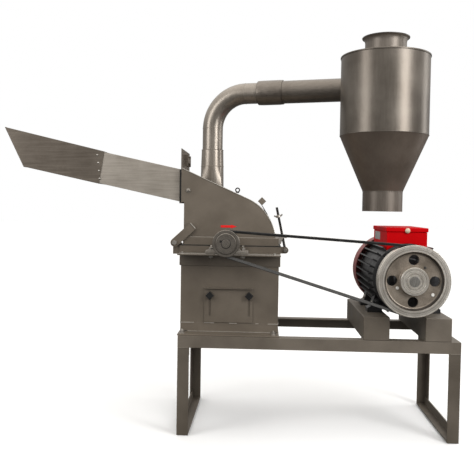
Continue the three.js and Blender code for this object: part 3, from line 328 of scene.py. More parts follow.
class Finish:
    """One procedural material, built node by node on the row frame's coordinates."""

    def __init__(self, name, metallic, specular=0.5, coat=0.0):
        self.material = bpy.data.materials.new(name)
        self.material.use_nodes = True
        self.tree = self.material.node_tree
        self.shader = self.tree.nodes["Principled BSDF"]
        self.shader.inputs["Metallic"].default_value = metallic
        self.shader.inputs["Specular IOR Level"].default_value = specular
        self.shader.inputs["Coat Weight"].default_value = coat
        self.where = self.add("ShaderNodeTexCoord").outputs["Object"]

    def add(self, kind, **settings):
        node = self.tree.nodes.new(kind)
        for key, value in settings.items():
            setattr(node, key, value)
        return node

    def wire(self, source, node, socket):
        self.tree.links.new(source, node.inputs[socket])

    def noise(self, scale, detail=3.0, stretch=(1, 1, 1), rough=0.55):
        """Noise from 0 to 1, with a size of about 1/scale metres, squeezed by stretch."""
        mapping = self.add("ShaderNodeMapping")
        mapping.inputs["Scale"].default_value = stretch
        self.wire(self.where, mapping, "Vector")
        noise = self.add("ShaderNodeTexNoise")
        noise.inputs["Scale"].default_value = scale
        noise.inputs["Detail"].default_value = detail
        noise.inputs["Roughness"].default_value = rough
        self.wire(mapping.outputs["Vector"], noise, "Vector")
        return noise.outputs["Fac"]

    def spread(self, source, low, high, to_low=0.0, to_high=1.0):
        node = self.add("ShaderNodeMapRange")
        for socket, value in (("From Min", low), ("From Max", high), ("To Min", to_low),
                              ("To Max", to_high)):
            node.inputs[socket].default_value = value
        self.wire(source, node, "Value")
        return node.outputs["Result"]

    def combine(self, first, second, operation="ADD"):
        node = self.add("ShaderNodeMath", operation=operation)
        for socket, value in enumerate((first, second)):
            if isinstance(value, (int, float)):
                node.inputs[socket].default_value = value
            else:
                self.wire(value, node, socket)
        return node.outputs["Value"]

    def times(self, first, second):
        return self.combine(first, second, "MULTIPLY")

    def blend(self, factor, first, second):
        node = self.add("ShaderNodeMix", data_type="RGBA")
        self.wire(factor, node, "Factor")
        for socket, value in ((6, first), (7, second)):
            if isinstance(value, tuple):
                node.inputs[socket].default_value = (*value, 1)
            else:
                self.wire(value, node, socket)
        return node.outputs[2]

    def edges(self, radius, low=0.02, high=0.25):
        """1 on sharp outer and inner edges, 0 on open surface."""
        bevel = self.add("ShaderNodeBevel", samples=6)
        bevel.inputs["Radius"].default_value = radius * MM
        plain = self.add("ShaderNodeNewGeometry").outputs["Normal"]
        dot = self.add("ShaderNodeVectorMath", operation="DOT_PRODUCT")
        self.wire(bevel.outputs["Normal"], dot, 0)
        self.wire(plain, dot, 1)
        return self.spread(self.combine(1.0, dot.outputs["Value"], "SUBTRACT"), low, high)

    def occlusion_shade(self, distance):
        """Painted shade mask from ambient occlusion: 1 in corners and under overhangs, 0 in the open."""
        shade = self.add("ShaderNodeAmbientOcclusion", samples=6)
        shade.inputs["Distance"].default_value = distance * MM
        return self.spread(shade.outputs["AO"], 0.75, 0.2)

    def colour(self, source):
        self.wire(source, self.shader, "Base Color")

    def roughness(self, source, low, high):
        self.wire(self.spread(source, 0.3, 0.7, low, high), self.shader, "Roughness")

    def bump(self, height, distance, strength=1.0):
        node = self.add("ShaderNodeBump")
        node.inputs["Distance"].default_value = distance * MM
        node.inputs["Strength"].default_value = strength
        self.wire(height, node, "Height")
        self.wire(node.outputs["Normal"], self.shader, "Normal")


def painted_sheet(name, dark, light, worn, metallic=0.25, rough=(0.36, 0.52), shade_tone=(0.30, 0.27, 0.23),
                  specular=0.5):
    """Sprayed enamel on steel: cloudy tone, orange peel, fine scuffs, rubbed edges, painted shade in corners."""
    made = Finish(name, metallic, specular)
    cloud = made.noise(5.5, 4)
    speck = made.noise(420, 2)
    scuff = made.spread(made.noise(38, 5, (1, 1, 7), 0.7), 0.62, 0.74)
    tone = made.spread(made.combine(made.times(cloud, 0.8), made.times(speck, 0.2)), 0.36, 0.62)
    base = made.blend(tone, dark, light)
    base = made.blend(made.times(scuff, 0.10), base, worn)
    rubbed = made.times(made.edges(1.6), made.spread(made.noise(90, 4), 0.42, 0.6))
    base = made.blend(made.times(rubbed, 0.75), base, worn)
    # Painted shade: corners and overhangs, broken into patches by noise, darkened towards the shade tone.
    corner_shade = made.times(made.occlusion_shade(28), made.spread(made.noise(30, 4), 0.3, 0.75, 0.2, 1.0))
    base = made.blend(made.times(corner_shade, 0.55), base, tuple(c * 0.35 for c in shade_tone))
    made.colour(base)
    made.roughness(made.combine(cloud, made.times(scuff, 0.15)), *rough)
    made.bump(made.combine(speck, made.times(made.noise(60, 3), 0.6)), 0.22, 0.5)
    return made.material


def rolled_sheet(name, dark, light, stain, metallic=0.8, rough=(0.26, 0.42), grain=(1, 1, 0.06), dents=0.5,
                 streaks=0.45):
    """Coated or bare sheet metal: streaks along the roll, mottled coat, stains, shallow dents, painted highlights
    on edges and painted shade in corners.
    """
    made = Finish(name, metallic)
    streak = made.noise(150, 3, grain)
    cloud = made.noise(7, 4)
    speck = made.noise(560, 2)
    tone = made.combine(made.times(streak, streaks), made.times(cloud, 0.9 - streaks))
    tone = made.spread(made.combine(tone, made.times(speck, 0.18)), 0.40, 0.68)
    base = made.blend(tone, dark, light)
    blotch = made.spread(made.noise(11, 5, (1, 1, 0.5), 0.65), 0.56, 0.74)
    base = made.blend(made.times(blotch, 0.35), base, stain)
    # Painted highlight: every sharp edge lightened towards 1.7 times the light tone.
    edge_highlight = made.times(made.edges(1.2), 0.5)
    base = made.blend(edge_highlight, base, tuple(min(1.0, c * 1.7) for c in light))
    # Painted shade in corners and under overhangs, towards a darkened stain tone.
    corner_shade = made.times(made.occlusion_shade(22), 0.5)
    base = made.blend(corner_shade, base, tuple(c * 0.3 for c in stain))
    made.colour(base)
    made.roughness(made.combine(made.times(streak, 0.5), made.times(cloud, 0.5)), *rough)
    wave = made.times(made.noise(9, 2), dents)
    made.bump(made.combine(wave, made.times(speck, 0.05)), 1.6, 0.35)
    return made.material


def turned_metal(name, axis, dark, light, rough=(0.22, 0.36), pitch=900, metallic=0.9):
    """Metal faced on a lathe: fine rings about an axis along Y, with a little surface bloom."""
    made = Finish(name, metallic)
    centred = made.add("ShaderNodeVectorMath", operation="SUBTRACT")
    centred.inputs[1].default_value = axis
    made.wire(made.where, centred, 0)
    flat = made.add("ShaderNodeVectorMath", operation="MULTIPLY")
    flat.inputs[1].default_value = (1, 0, 1)
    made.wire(centred.outputs["Vector"], flat, 0)
    length = made.add("ShaderNodeVectorMath", operation="LENGTH")
    made.wire(flat.outputs["Vector"], length, 0)
    ringed = made.add("ShaderNodeTexNoise", noise_dimensions="1D")
    ringed.inputs["Scale"].default_value = pitch
    ringed.inputs["Detail"].default_value = 3
    made.wire(length.outputs["Value"], ringed, "W")
    rings = ringed.outputs["Fac"]
    cloud = made.noise(28, 4)
    tone = made.spread(made.combine(made.times(rings, 0.6), made.times(cloud, 0.4)), 0.35, 0.65)
    base = made.blend(tone, dark, light)
    bloom = made.spread(made.noise(60, 5), 0.58, 0.72)
    base = made.blend(made.times(bloom, 0.4), base, tuple(c * 0.55 for c in dark))
    # Painted shade in corners and recesses, towards near black.
    corner_shade = made.times(made.occlusion_shade(16), 0.6)
    base = made.blend(corner_shade, base, (0.035, 0.03, 0.025))
    made.colour(base)
    made.roughness(rings, *rough)
    made.bump(rings, 0.12, 0.5)
    return made.material


def cast_surface(name, dark, light, metallic=0.3, rough=(0.45, 0.65), grit=260, depth=0.5, worn=None):
    """A sand-cast, painted surface with its pebbled skin."""
    made = Finish(name, metallic)
    sand = made.noise(grit, 3)
    cloud = made.noise(16, 4)
    base = made.blend(made.spread(made.times(sand, cloud), 0.15, 0.36), dark, light)
    if worn:
        rubbed = made.times(made.edges(1.8), made.spread(made.noise(110, 4), 0.4, 0.6))
        base = made.blend(made.times(rubbed, 0.7), base, worn)
    # Painted shade in corners and recesses, towards the darkened dark tone.
    corner_shade = made.times(made.occlusion_shade(18), 0.55)
    base = made.blend(corner_shade, base, tuple(c * 0.3 for c in dark))
    made.colour(base)
    made.roughness(cloud, *rough)
    made.bump(sand, depth, 0.45)
    return made.material


def belt_rubber(name, dark, light):
    made = Finish(name, 0.0, 0.35)
    cloth = made.add("ShaderNodeTexWave", wave_type="BANDS", bands_direction="DIAGONAL")
    cloth.inputs["Scale"].default_value = 420
    cloth.inputs["Distortion"].default_value = 1.2
    made.wire(made.where, cloth, "Vector")
    # Here the mark is dust only: lighter patches from noise.
    dust_and_shade = made.spread(made.noise(40, 5), 0.45, 0.75)
    base = made.blend(cloth.outputs["Fac"], dark, light)
    base = made.blend(made.times(dust_and_shade, 0.35), base, (0.10, 0.095, 0.088))
    made.colour(base)
    made.roughness(made.noise(90, 3), 0.55, 0.8)
    made.bump(cloth.outputs["Fac"], 0.25, 0.5)
    return made.material


def moulded(name, dark, light, rough=(0.3, 0.45), grain=700):
    made = Finish(name, 0.0)
    fine = made.noise(grain, 2)
    base = made.blend(made.spread(made.noise(40, 3), 0.35, 0.65), dark, light)
    # Painted shade in corners, towards half the dark tone.
    dust_and_shade = made.times(made.occlusion_shade(8), 0.4)
    made.colour(made.blend(dust_and_shade, base, tuple(c * 0.5 for c in dark)))
    made.roughness(fine, *rough)
    made.bump(fine, 0.08, 0.4)
    return made.material


WORN_STEEL = (0.42, 0.39, 0.35)
CASING = painted_sheet("casing_enamel", (0.148, 0.122, 0.094), (0.196, 0.163, 0.127), WORN_STEEL)
FRAME = painted_sheet("frame_enamel", (0.142, 0.119, 0.093), (0.198, 0.168, 0.134), WORN_STEEL,
                      rough=(0.42, 0.6))
# Painted shade: a darker copy of the frame enamel, for the legs and the left motor rail.
SHADED_FRAME_ENAMEL = painted_sheet("leg_enamel", (0.108, 0.089, 0.068), (0.152, 0.127, 0.099), WORN_STEEL,
                    rough=(0.42, 0.6))
# A much lighter copy of the shelf enamel for upward faces of the bearing shelves and the upper casing's right end:
# partly worn bare paint, partly a painted highlight.
WORN_AND_LIT_TOP = painted_sheet("shelf_top_worn_and_painted_light", (0.40, 0.37, 0.33), (0.52, 0.49, 0.45), (0.6, 0.57, 0.53),
                          0.4, (0.3, 0.45))
# Painted shade: a slightly darker copy of the casing enamel, for the shelf apron in the shadow of its top.
SHADED_SHELF = painted_sheet("shelf_enamel_painted_shade", (0.132, 0.110, 0.086), (0.178, 0.150, 0.119), WORN_STEEL, 0.3,
                      (0.36, 0.5))
CHUTE = rolled_sheet("bright_sheet", (0.36, 0.32, 0.27), (0.52, 0.47, 0.41), (0.30, 0.25, 0.20), 0.6,
                     (0.34, 0.5), (0.05, 1, 1))
OUTER = rolled_sheet("outer_sheet", (0.138, 0.113, 0.090), (0.205, 0.174, 0.142), (0.11, 0.085, 0.064),
                     0.6, (0.3, 0.46), (0.05, 1, 1))
DUCT = rolled_sheet("duct_coat", (0.27, 0.236, 0.20), (0.38, 0.338, 0.292), (0.20, 0.165, 0.13))
# Painted shade: a darker copy of the duct coat for the level duct.
SHADED_CROSS_COAT = rolled_sheet("cross_coat_painted_shade", (0.170, 0.146, 0.122), (0.245, 0.215, 0.184), (0.12, 0.098, 0.076),
                     grain=(0.06, 1, 1))
# Painted shade: a darker copy of the duct coat for the cyclone's barrel, roof and seams.
SHADED_BARREL_COAT = rolled_sheet("barrel_coat_painted_shade", (0.142, 0.122, 0.102), (0.205, 0.180, 0.153), (0.11, 0.09, 0.07),
                      0.8, (0.28, 0.42), streaks=0.18)
# The cone's sheet: a browner tone of its own, made a little darker as painted shade on a downward face.
BROWN_SHADED_CONE = rolled_sheet("cone_coat_brown_and_painted_shade", (0.142, 0.110, 0.086), (0.195, 0.156, 0.125), (0.11, 0.079, 0.060), 0.6,
                    (0.36, 0.5), streaks=0.18)
COLLAR = rolled_sheet("collar_coat", (0.15, 0.128, 0.107), (0.235, 0.205, 0.176), (0.07, 0.055, 0.042),
                      0.6, (0.32, 0.5))
SPOUT = rolled_sheet("spout_coat", (0.112, 0.093, 0.077), (0.176, 0.150, 0.126), (0.06, 0.047, 0.036), 0.6,
                     (0.36, 0.52))
BEARING = cast_surface("bearing_casting", (0.23, 0.205, 0.176), (0.34, 0.31, 0.272), 0.45, (0.38, 0.55),
                       worn=WORN_STEEL)
MOTOR_BLACK = cast_surface("motor_enamel", (0.010, 0.010, 0.011), (0.022, 0.022, 0.023), 0.1,
                           (0.28, 0.45), 180, 0.35)
COWL_RED = painted_sheet("cowl_enamel", (0.24, 0.055, 0.052), (0.31, 0.085, 0.078), (0.4, 0.2, 0.18), 0.1)
BOX_RED = painted_sheet("box_enamel", (0.49, 0.0003, 0.002), (0.58, 0.0006, 0.003), (0.58, 0.01, 0.012),
                        0.0, (0.42, 0.56), (0.20, 0.005, 0.005), 0.05)
KNOB = moulded("knob_plastic", (0.006, 0.006, 0.006), (0.014, 0.014, 0.014))
CREAM = moulded("cream_plastic", (0.60, 0.52, 0.38), (0.74, 0.66, 0.50))
PLATE_GREY = moulded("plate_grey", (0.30, 0.285, 0.27), (0.42, 0.40, 0.38), (0.4, 0.55), 300)
STICKER = moulded("sticker_vinyl", (0.72, 0.006, 0.006), (0.86, 0.012, 0.010), (0.35, 0.45), 200)
RUBBER = belt_rubber("belt_rubber", (0.010, 0.010, 0.010), (0.024, 0.023, 0.022))
DUSTY_RUBBER = belt_rubber("dusty_rubber", (0.040, 0.039, 0.037), (0.072, 0.070, 0.067))
PULLEY_FACE = turned_metal("pulley_metal", tuple(MOTOR), (0.60, 0.545, 0.475), (0.93, 0.88, 0.80),
                           pitch=170)
WEB_CAST = cast_surface("web_casting", (0.20, 0.165, 0.13), (0.34, 0.29, 0.235), 0.55, (0.32, 0.5), 340,
                        0.4)
# Painted shade: near black for the inner wall of the pulley rim.
RIM_WALL_SHADE = cast_surface("rim_wall_painted_shade", (0.045, 0.038, 0.032), (0.09, 0.078, 0.066), 0.4, (0.4, 0.6),
                        340, 0.4)
SMALL_PULLEY = turned_metal("small_pulley_metal", tuple(MILL), (0.22, 0.195, 0.165), (0.36, 0.325, 0.285))
STEEL = turned_metal("turned_steel", tuple(MILL), (0.30, 0.285, 0.26), (0.50, 0.48, 0.45), pitch=500)
BOLT = rolled_sheet("bolt_steel", (0.28, 0.26, 0.23), (0.50, 0.47, 0.43), (0.12, 0.09, 0.06), 0.85,
                    (0.26, 0.42), (1, 1, 1), 0.1)
# Painted glint: flat near white, for small bright spots.
GLINT_WHITE = moulded("glint_white", (0.74, 0.72, 0.68), (0.86, 0.84, 0.80), (0.2, 0.3), 500)
DARK_BOLT = rolled_sheet("dark_bolt_steel", (0.03, 0.028, 0.026), (0.07, 0.065, 0.06),
                         (0.03, 0.02, 0.015), 0.7, (0.3, 0.5), (1, 1, 1), 0.1)
BEAD = rolled_sheet("weld_metal", (0.30, 0.27, 0.235), (0.50, 0.47, 0.42), (0.12, 0.09, 0.07), 0.7,
                    (0.3, 0.5), (1, 1, 1), 0.1)


# ------------------------------------------------------------------ stand

STAND_NODES = [n for n in frame["nodes"] if n.startswith("stand_")]


def stand():
    for node in STAND_NODES:
        refine(node, FRAME if node == "stand_top_frame" else SHADED_FRAME_ENAMEL, 1.6, 3)
    # The left motor rail takes the darker copy as painted shade.
    refine("motor_rail_left", SHADED_FRAME_ENAMEL, 3.0, 3)
    refine("motor_rail_right", FRAME, 3.0, 3)
    stand_welds()


def stand_welds():
    """Beads where each leg meets the top frame, and at the feet of the motor rails."""
    bm = bmesh.new()
    top_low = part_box("stand_top_frame")[0]
    for node in [n for n in STAND_NODES if "leg" in n]:
        low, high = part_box(node)
        inner_x = low.x if low.x > top_low.x + 0.1 else high.x
        face_y = low.y if low.y < 0 else high.y
        proud = -0.4 * MM if face_y < 0 else 0.4 * MM
        weld(bm, Vector((low.x + 0.002, face_y + proud, high.z)),
             Vector((high.x - 0.002, face_y + proud, high.z)), 1.7)
        weld(bm, Vector((inner_x, face_y, high.z - 0.03)), Vector((inner_x, face_y, high.z)), 1.9)
    for node in ("motor_rail_left", "motor_rail_right"):
        low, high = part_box(node)
        for x in (low.x, high.x):
            for y in (low.y + 0.012, high.y - 0.052):
                weld(bm, Vector((x, y, low.z)), Vector((x, y + 0.04, low.z)), 2.8)
    piece("stand_welds", bm, FRAME, "machine", "frame_paint")


# ------------------------------------------------------------------ mill casings

def casings():
    for node in ("mill_base", "lower_casing", "damper_plate"):
        refine(node, CASING, 0.9)
    lug_from = MILL.x + (CASING_RIGHT - 2.5) * MM
    # The upper casing's right end takes the lighter copy as a painted highlight.
    recolour(refine("upper_casing", CASING, 0.9), WORN_AND_LIT_TOP, lambda at, normal: at.x > lug_from)
    catch = refine("cover_catch", CASING, 0.9)
    recolour(catch, MOTOR_BLACK, lambda at, normal: from_axis(at, MILL) < COVER_RADIUS + 16)
    for node in ("hinge_arm_front", "hinge_arm_rear"):
        refine(node, CASING, 1.6)
    for node in ("bearing_shelf_front", "bearing_shelf_rear"):
        # Upward faces take the lighter copy as worn paint and painted highlight; the apron keeps the darker copy
        # as painted shade.
        recolour(refine(node, SHADED_SHELF, 1.2), WORN_AND_LIT_TOP, lambda at, normal: normal.z > 0.6)
    for node in ("damper_knob_left", "damper_knob_right"):
        refine(node, KNOB, 3.0, 3)
    refine("cover_hinge_pin", BOLT, 0.8)
    refine("sieve_screen", STEEL, 0.4)
    casing_welds()
    casing_bolts()
    cover_trim()
    gasket_and_shadow_strips()
    rotation_arrow()


def from_axis(at, axis):
    """Distance in millimetres of a point from an axis along Y."""
    return hypot(at.x - axis.x, at.z - axis.z) / MM


def gasket_and_shadow_strips():
    """Rubber between the two casings, broken at the shaft and drawn taller as painted shade under the band, and
    black strips up the feed throat's guides as painted shadow.
    """
    place = placer(MILL)
    # Black rubber between the casings: partly real gasket, partly painted shade under the band.
    gasket_and_shade = bmesh.new()
    proud = BAND_REACH + 0.8
    left, right = CASING_LEFT - proud, CASING_RIGHT + proud
    front, rear = CASING_FRONT - proud, CASING_REAR + proud
    for out in ((front, front + 5.8), (rear - 5.8, rear)):
        for across in ((left, -SHAFT_CLEAR), (SHAFT_CLEAR, right)):
            slab(gasket_and_shade, place, across, GASKET_AND_SHADE_SPAN, out)
    for across in ((left, left + 5.8), (right - 5.8, right)):
        slab(gasket_and_shade, place, across, GASKET_AND_SHADE_SPAN, (front, rear))
    piece("casing_gasket_and_shade", gasket_and_shade, RUBBER, "machine", "belt_rubber")
    # Painted shadow: black strips in the gap between the chute and the cover.
    strips = bmesh.new()
    for out in ((95.5, 98.2), (411.8, 414.5)):
        slab(strips, place, (CHUTE_RIGHT + 1, THROAT_X - 1), (CHUTE_FLOOR - 2, CHUTE_FLOOR + 141), out)
    piece("throat_shadow_strips", strips, RUBBER, "cover", "belt_rubber")


def casing_welds():
    """Bright beads in stretches along the foot seam, one along the foot's front, and dark beads at the base
    plate's front corners.
    """
    bm = bmesh.new()
    base_low, base_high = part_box("mill_base")
    seam = base_high.z + 0.0002
    left, right = MILL.x + CASING_LEFT * MM, MILL.x + CASING_RIGHT * MM
    front, rear = MILL.y + CASING_FRONT * MM, MILL.y + CASING_REAR * MM
    for start, end in ((0.0, 0.060), (0.105, 0.150), (0.215, 0.250), (0.330, 0.345), (0.385, 0.430)):
        weld(bm, Vector((left + start, front, seam)), Vector((left + end, front, seam)), 2.3)
    for y0, y1 in ((front, front + 0.07), (rear - 0.07, rear)):
        for x in (left, right):
            weld(bm, Vector((x, y0, seam)), Vector((x, y1, seam)), 2.3)
    for start in (0.0, 0.12, 0.25, 0.38):
        weld(bm, Vector((left + start, rear, seam)), Vector((left + start + 0.05, rear, seam)), 2.3)
    foot = Vector((0, front - 0.001, base_low.z + 0.0065))
    weld(bm, foot + X * (left + 0.034), foot + X * (right - 0.034), 1.5)
    piece("casing_welds", bm, BEAD, "machine", "shelf_paint")
    plate = bmesh.new()
    plate_top = base_low.z + 0.006
    for x0, x1 in ((left + 0.005, left + 0.03), (right - 0.03, right - 0.005)):
        weld(plate, Vector((x0, front - 0.001, plate_top + 0.001)),
             Vector((x1, front - 0.001, plate_top + 0.001)), 3.0)
    piece("base_welds", plate, DARK_BOLT, "machine", "frame_paint")


def casing_bolts():
    """Foot bolts, the small bolts at the shelf's ends and the head of the fork's cross pin."""
    bm = bmesh.new()
    base_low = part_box("mill_base")[0]
    for x in (-190, 205):
        for y in (40, 500):
            hex_bolt(bm, Vector((MILL.x + x * MM, MILL.y + y * MM, base_low.z + 0.006)), Z, 16, 9, 14, 6)
    piece("base_bolts", bm, BOLT, "machine", "plain_steel")
    ear = bmesh.new()
    shelf_low, shelf_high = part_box("bearing_shelf_front")
    hex_bolt(ear, Vector((MILL.x - 0.192, shelf_low.y + 0.020, shelf_high.z)), Z, 10, 6, 9)
    hex_bolt(ear, Vector((MILL.x + 0.205, shelf_low.y + 0.020, shelf_high.z)), Z, 10, 6, 9)
    hex_bolt(ear, mm(MILL, FORK_X, 247.4, FORK_Z), -Y, 13, 7, 10)
    piece("shelf_bolts", ear, BOLT, "machine", "plain_steel")


def cover_trim():
    """Dome bolt for the gate, seam bead up the cover's edge, and the hinge arm's bright end."""
    bm = bmesh.new()
    place = placer(mm(MILL, -177, 85, 223), X, Z, -Y)
    dome = [(0, 0), (10.5, 0), (10.5, 2)] + [(9 * cos(t), 2 + 5.5 * sin(t)) for t in quarter(8)[:-1]]
    lathe(bm, dome + [(0, 7.5)], place, 40)
    piece("cover_dome_bolt", bm, BEARING, "cover", "plain_steel")
    seam = bmesh.new()
    slope = tan(COVER_SLOPE)
    touch = pi / 2 - COVER_SLOPE
    tx, tz = COVER_RADIUS * cos(touch), COVER_RADIUS * sin(touch)
    for y in (84.8, 440.2):
        run = [(x, tz + slope * (tx - x)) for x in range(THROAT_X + 2, int(tx), 46)]
        bends = [touch - touch * i / 16 for i in range(15)]
        run += [(COVER_RADIUS * cos(t), COVER_RADIUS * sin(t)) for t in bends]
        for (x0, z0), (x1, z1) in zip(run, run[1:]):
            weld(seam, mm(MILL, x0, y, z0), mm(MILL, x1, y, z1), 2.1)
    for y in (80.2, 444.8):
        for start, end in ((-193, -SHAFT_CLEAR), (SHAFT_CLEAR, 220)):
            weld(seam, mm(MILL, start, y, COVER_BAND_TOP), mm(MILL, end, y, COVER_BAND_TOP), 1.2)
    piece("cover_edge_welds", seam, BEAD, "cover", "shelf_paint")
    ends = bmesh.new()
    out, up = spoke(ARM_ANGLE), Vector((-sin(ARM_ANGLE), 0, cos(ARM_ANGLE)))
    for node in ("hinge_arm_front", "hinge_arm_rear"):
        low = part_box(node)[0]
        hub = Vector((MILL.x + HINGE_X * MM, low.y, MILL.z + HINGE_Z * MM))
        tip = hub + out * (ARM_LENGTH * MM)
        for depth, radius in ((0, 3.2), (ARM_THICKNESS, 2.0)):
            side = Y * (depth * MM)
            weld(ends, tip - up * 0.017 + side, tip + up * 0.017 + side, radius)
    piece("hinge_arm_welds", ends, BEAD, "cover", "shelf_paint")


def rotation_arrow():
    """A plain red arrow for the way the shaft turns."""
    bm = bmesh.new()
    place = placer(mm(MILL, 0, 84.6, 68), X, Z, -Y)
    arrow = [(-32, -5), (14, -5), (14, -8), (38, 0), (14, 8), (14, 5), (-32, 5)]
    prism(bm, arrow, place, 0, 0.5)
    piece("rotation_arrow", bm, STICKER, "cover", "box_red")


# ------------------------------------------------------------------ feed

def feed():
    refine("feed_chute_inner", CHUTE, 0.6)
    refine("feed_chute_outer", OUTER, 0.6)
    refine("feed_gate", OUTER, 0.7)
    chute_trim()
    gate_fasteners()


def chute_trim():
    """Folded hems round the mouth, and spot-weld dimples in a row up the lap."""
    low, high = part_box("feed_chute_outer")
    bm = bmesh.new()
    top = CHUTE_FLOOR + CHUTE_HEIGHT + CHUTE_LAP + CHUTE_RISE * (CHUTE_RIGHT - CHUTE_JOINT)
    lip_top = top + MOUTH_RISE * (CHUTE_JOINT - MOUTH_TOP)
    lip_bottom = CHUTE_FLOOR - CHUTE_LAP + CHUTE_RISE * (CHUTE_RIGHT - MOUTH_BOTTOM)
    tip = [Vector((MILL.x + x * MM, 0, MILL.z + z * MM))
           for x, z in ((MOUTH_TOP, lip_top), (MOUTH_BOTTOM, lip_bottom))]
    front, rear = low.y, high.y
    hem = 2.2
    for y in (front + 0.0012, rear - 0.0012):
        smooth_rod(bm, Vector((tip[0].x + 0.002, y, tip[0].z - 0.002)),
                   Vector((tip[1].x + 0.001, y, tip[1].z + 0.001)), hem)
    for end, inset, drop in ((tip[0], 0.002, 0.002), (tip[1], 0.001, -0.001)):
        smooth_rod(bm, Vector((end.x + inset, front + 0.001, end.z - drop)),
                   Vector((end.x + inset, rear - 0.001, end.z - drop)), hem)
    piece("chute_mouth_hem", bm, OUTER, "cover", "duct_sheet")
    rivets = bmesh.new()
    for y, out in ((front, -Y), (rear, Y)):
        for k in range(4):
            x = -590 - 4 * k
            z = CHUTE_FLOOR + CHUTE_RISE * (CHUTE_RIGHT - x) + 18 + 34 * k
            place = placer(Vector((MILL.x + (x + 14) * MM, y, MILL.z + z * MM)), X, Z, out)
            lathe(rivets, [(0, -0.5), (4.2, -0.5), (4.2, 0.2), (2.8, 1.4), (0, 1.9)], place, 20)
    piece("chute_rivets", rivets, BOLT, "cover", "plain_steel")


def smooth_rod(bm, start, end, radius):
    """A smooth round rod between two points."""
    heading = (end - start).normalized()
    across = heading.orthogonal().normalized()
    up = heading.cross(across)
    ring = [(across * cos(t) + up * sin(t)) * radius * MM for t in turns(12)]
    loft(bm, [[centre + point for point in ring] for centre in (start, end)])


def gate_fasteners():
    """Rivets on the feed gate's grip straps."""
    bm = bmesh.new()
    low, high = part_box("feed_gate")
    for y in (-0.1070, -0.0050):
        for z in (0.030, 0.060):
            place = placer(Vector((low.x + 0.003, y, high.z - z)), Y, Z, X)
            lathe(bm, [(0, -0.5), (4, -0.5), (4, 0.4), (2.6, 1.8), (0, 2.3)], place, 20)
    piece("gate_rivets", bm, BOLT, "feed_gate", "plain_steel")


# ------------------------------------------------------------------ bearings and bolts

def bearing_block(node, outward):
    """A foot-mounted bearing block with its insert, grease nipple and two bolts."""
    low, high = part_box(node)
    mid = Vector((MILL.x, (low.y + high.y) / 2, MILL.z))
    height, half = 49.2, 92
    place = placer(mid)
    body = bmesh.new()
    shell = [(-half, -height), (half, -height), (half, -height + 15), (half - 6, -height + 18)]
    shell += arc(9, -90, -150, 4, (60, -height + 27))
    shell += arc(41, -18, 198, 44)
    shell += arc(9, -30, -90, 4, (-60, -height + 27))
    shell += [(-half + 6, -height + 18), (-half, -height + 15)]
    prism(body, shell, place, -19, 19)
    slab(body, place, (-half, half), (-height, -height + 14), (-26, 26))
    soften(body, 2.2, 3)
    hole = bmesh.new()
    lathe(hole, plug(30, -40, 40), place, 64)
    body = carve(body, hole)
    seat = [(30, -17), (30, 17), (36.5, 17), (36.5, 20.5), (33, 21.5), (31, 19), (31, -19),
            (33, -21.5), (36.5, -20.5), (36.5, -17)]
    lathe(body, seat, place, 64)
    stand_in(node, body, BEARING)
    insert = bmesh.new()
    half_ring = [(20.4, 24.6), (26, 24.6), (26.6, 24), (26.6, 15), (29.8, 14)]
    lathe(insert, [(r, -h) for r, h in half_ring] + half_ring[::-1], place, 64)
    for turn in (0.6, 2.4):
        out = spoke(turn)
        spot = mid + out * 0.0262 + Y * (outward * 20 * MM)
        lathe(insert, [(0, -1), (2.6, -1), (2.6, 0.8), (1.6, 0.8), (1.4, -0.4), (0, -0.4)],
              placer(spot, Y, out.cross(Y), out), 12)
    nipple = placer(mid + Vector((-0.026, 0, 0.031)), Y, Vector((0.64, 0, 0.77)), Vector((-0.64, 0, 0.77)))
    lathe(insert, [(0, -2), (4, -2), (4, 3), (2.2, 4), (2.2, 7), (3, 8), (3, 9.5), (1.4, 11), (0, 11)],
          nipple, 16)
    piece(f"{node}_insert", insert, STEEL, "machine", "plain_steel")
    bolts = bmesh.new()
    for side in (-68.5, 68.5):
        hex_bolt(bolts, mm(mid, side, 0, -height + 14), Z, 19, 11, 13, 9)
        hex_bolt(bolts, mm(mid, side, 0, -height - 6), -Z, 19, 10, 13, 7)
    piece(f"{node}_bolts", bolts, BOLT, "machine", "plain_steel")


# ------------------------------------------------------------------ clamp, eye, knobs

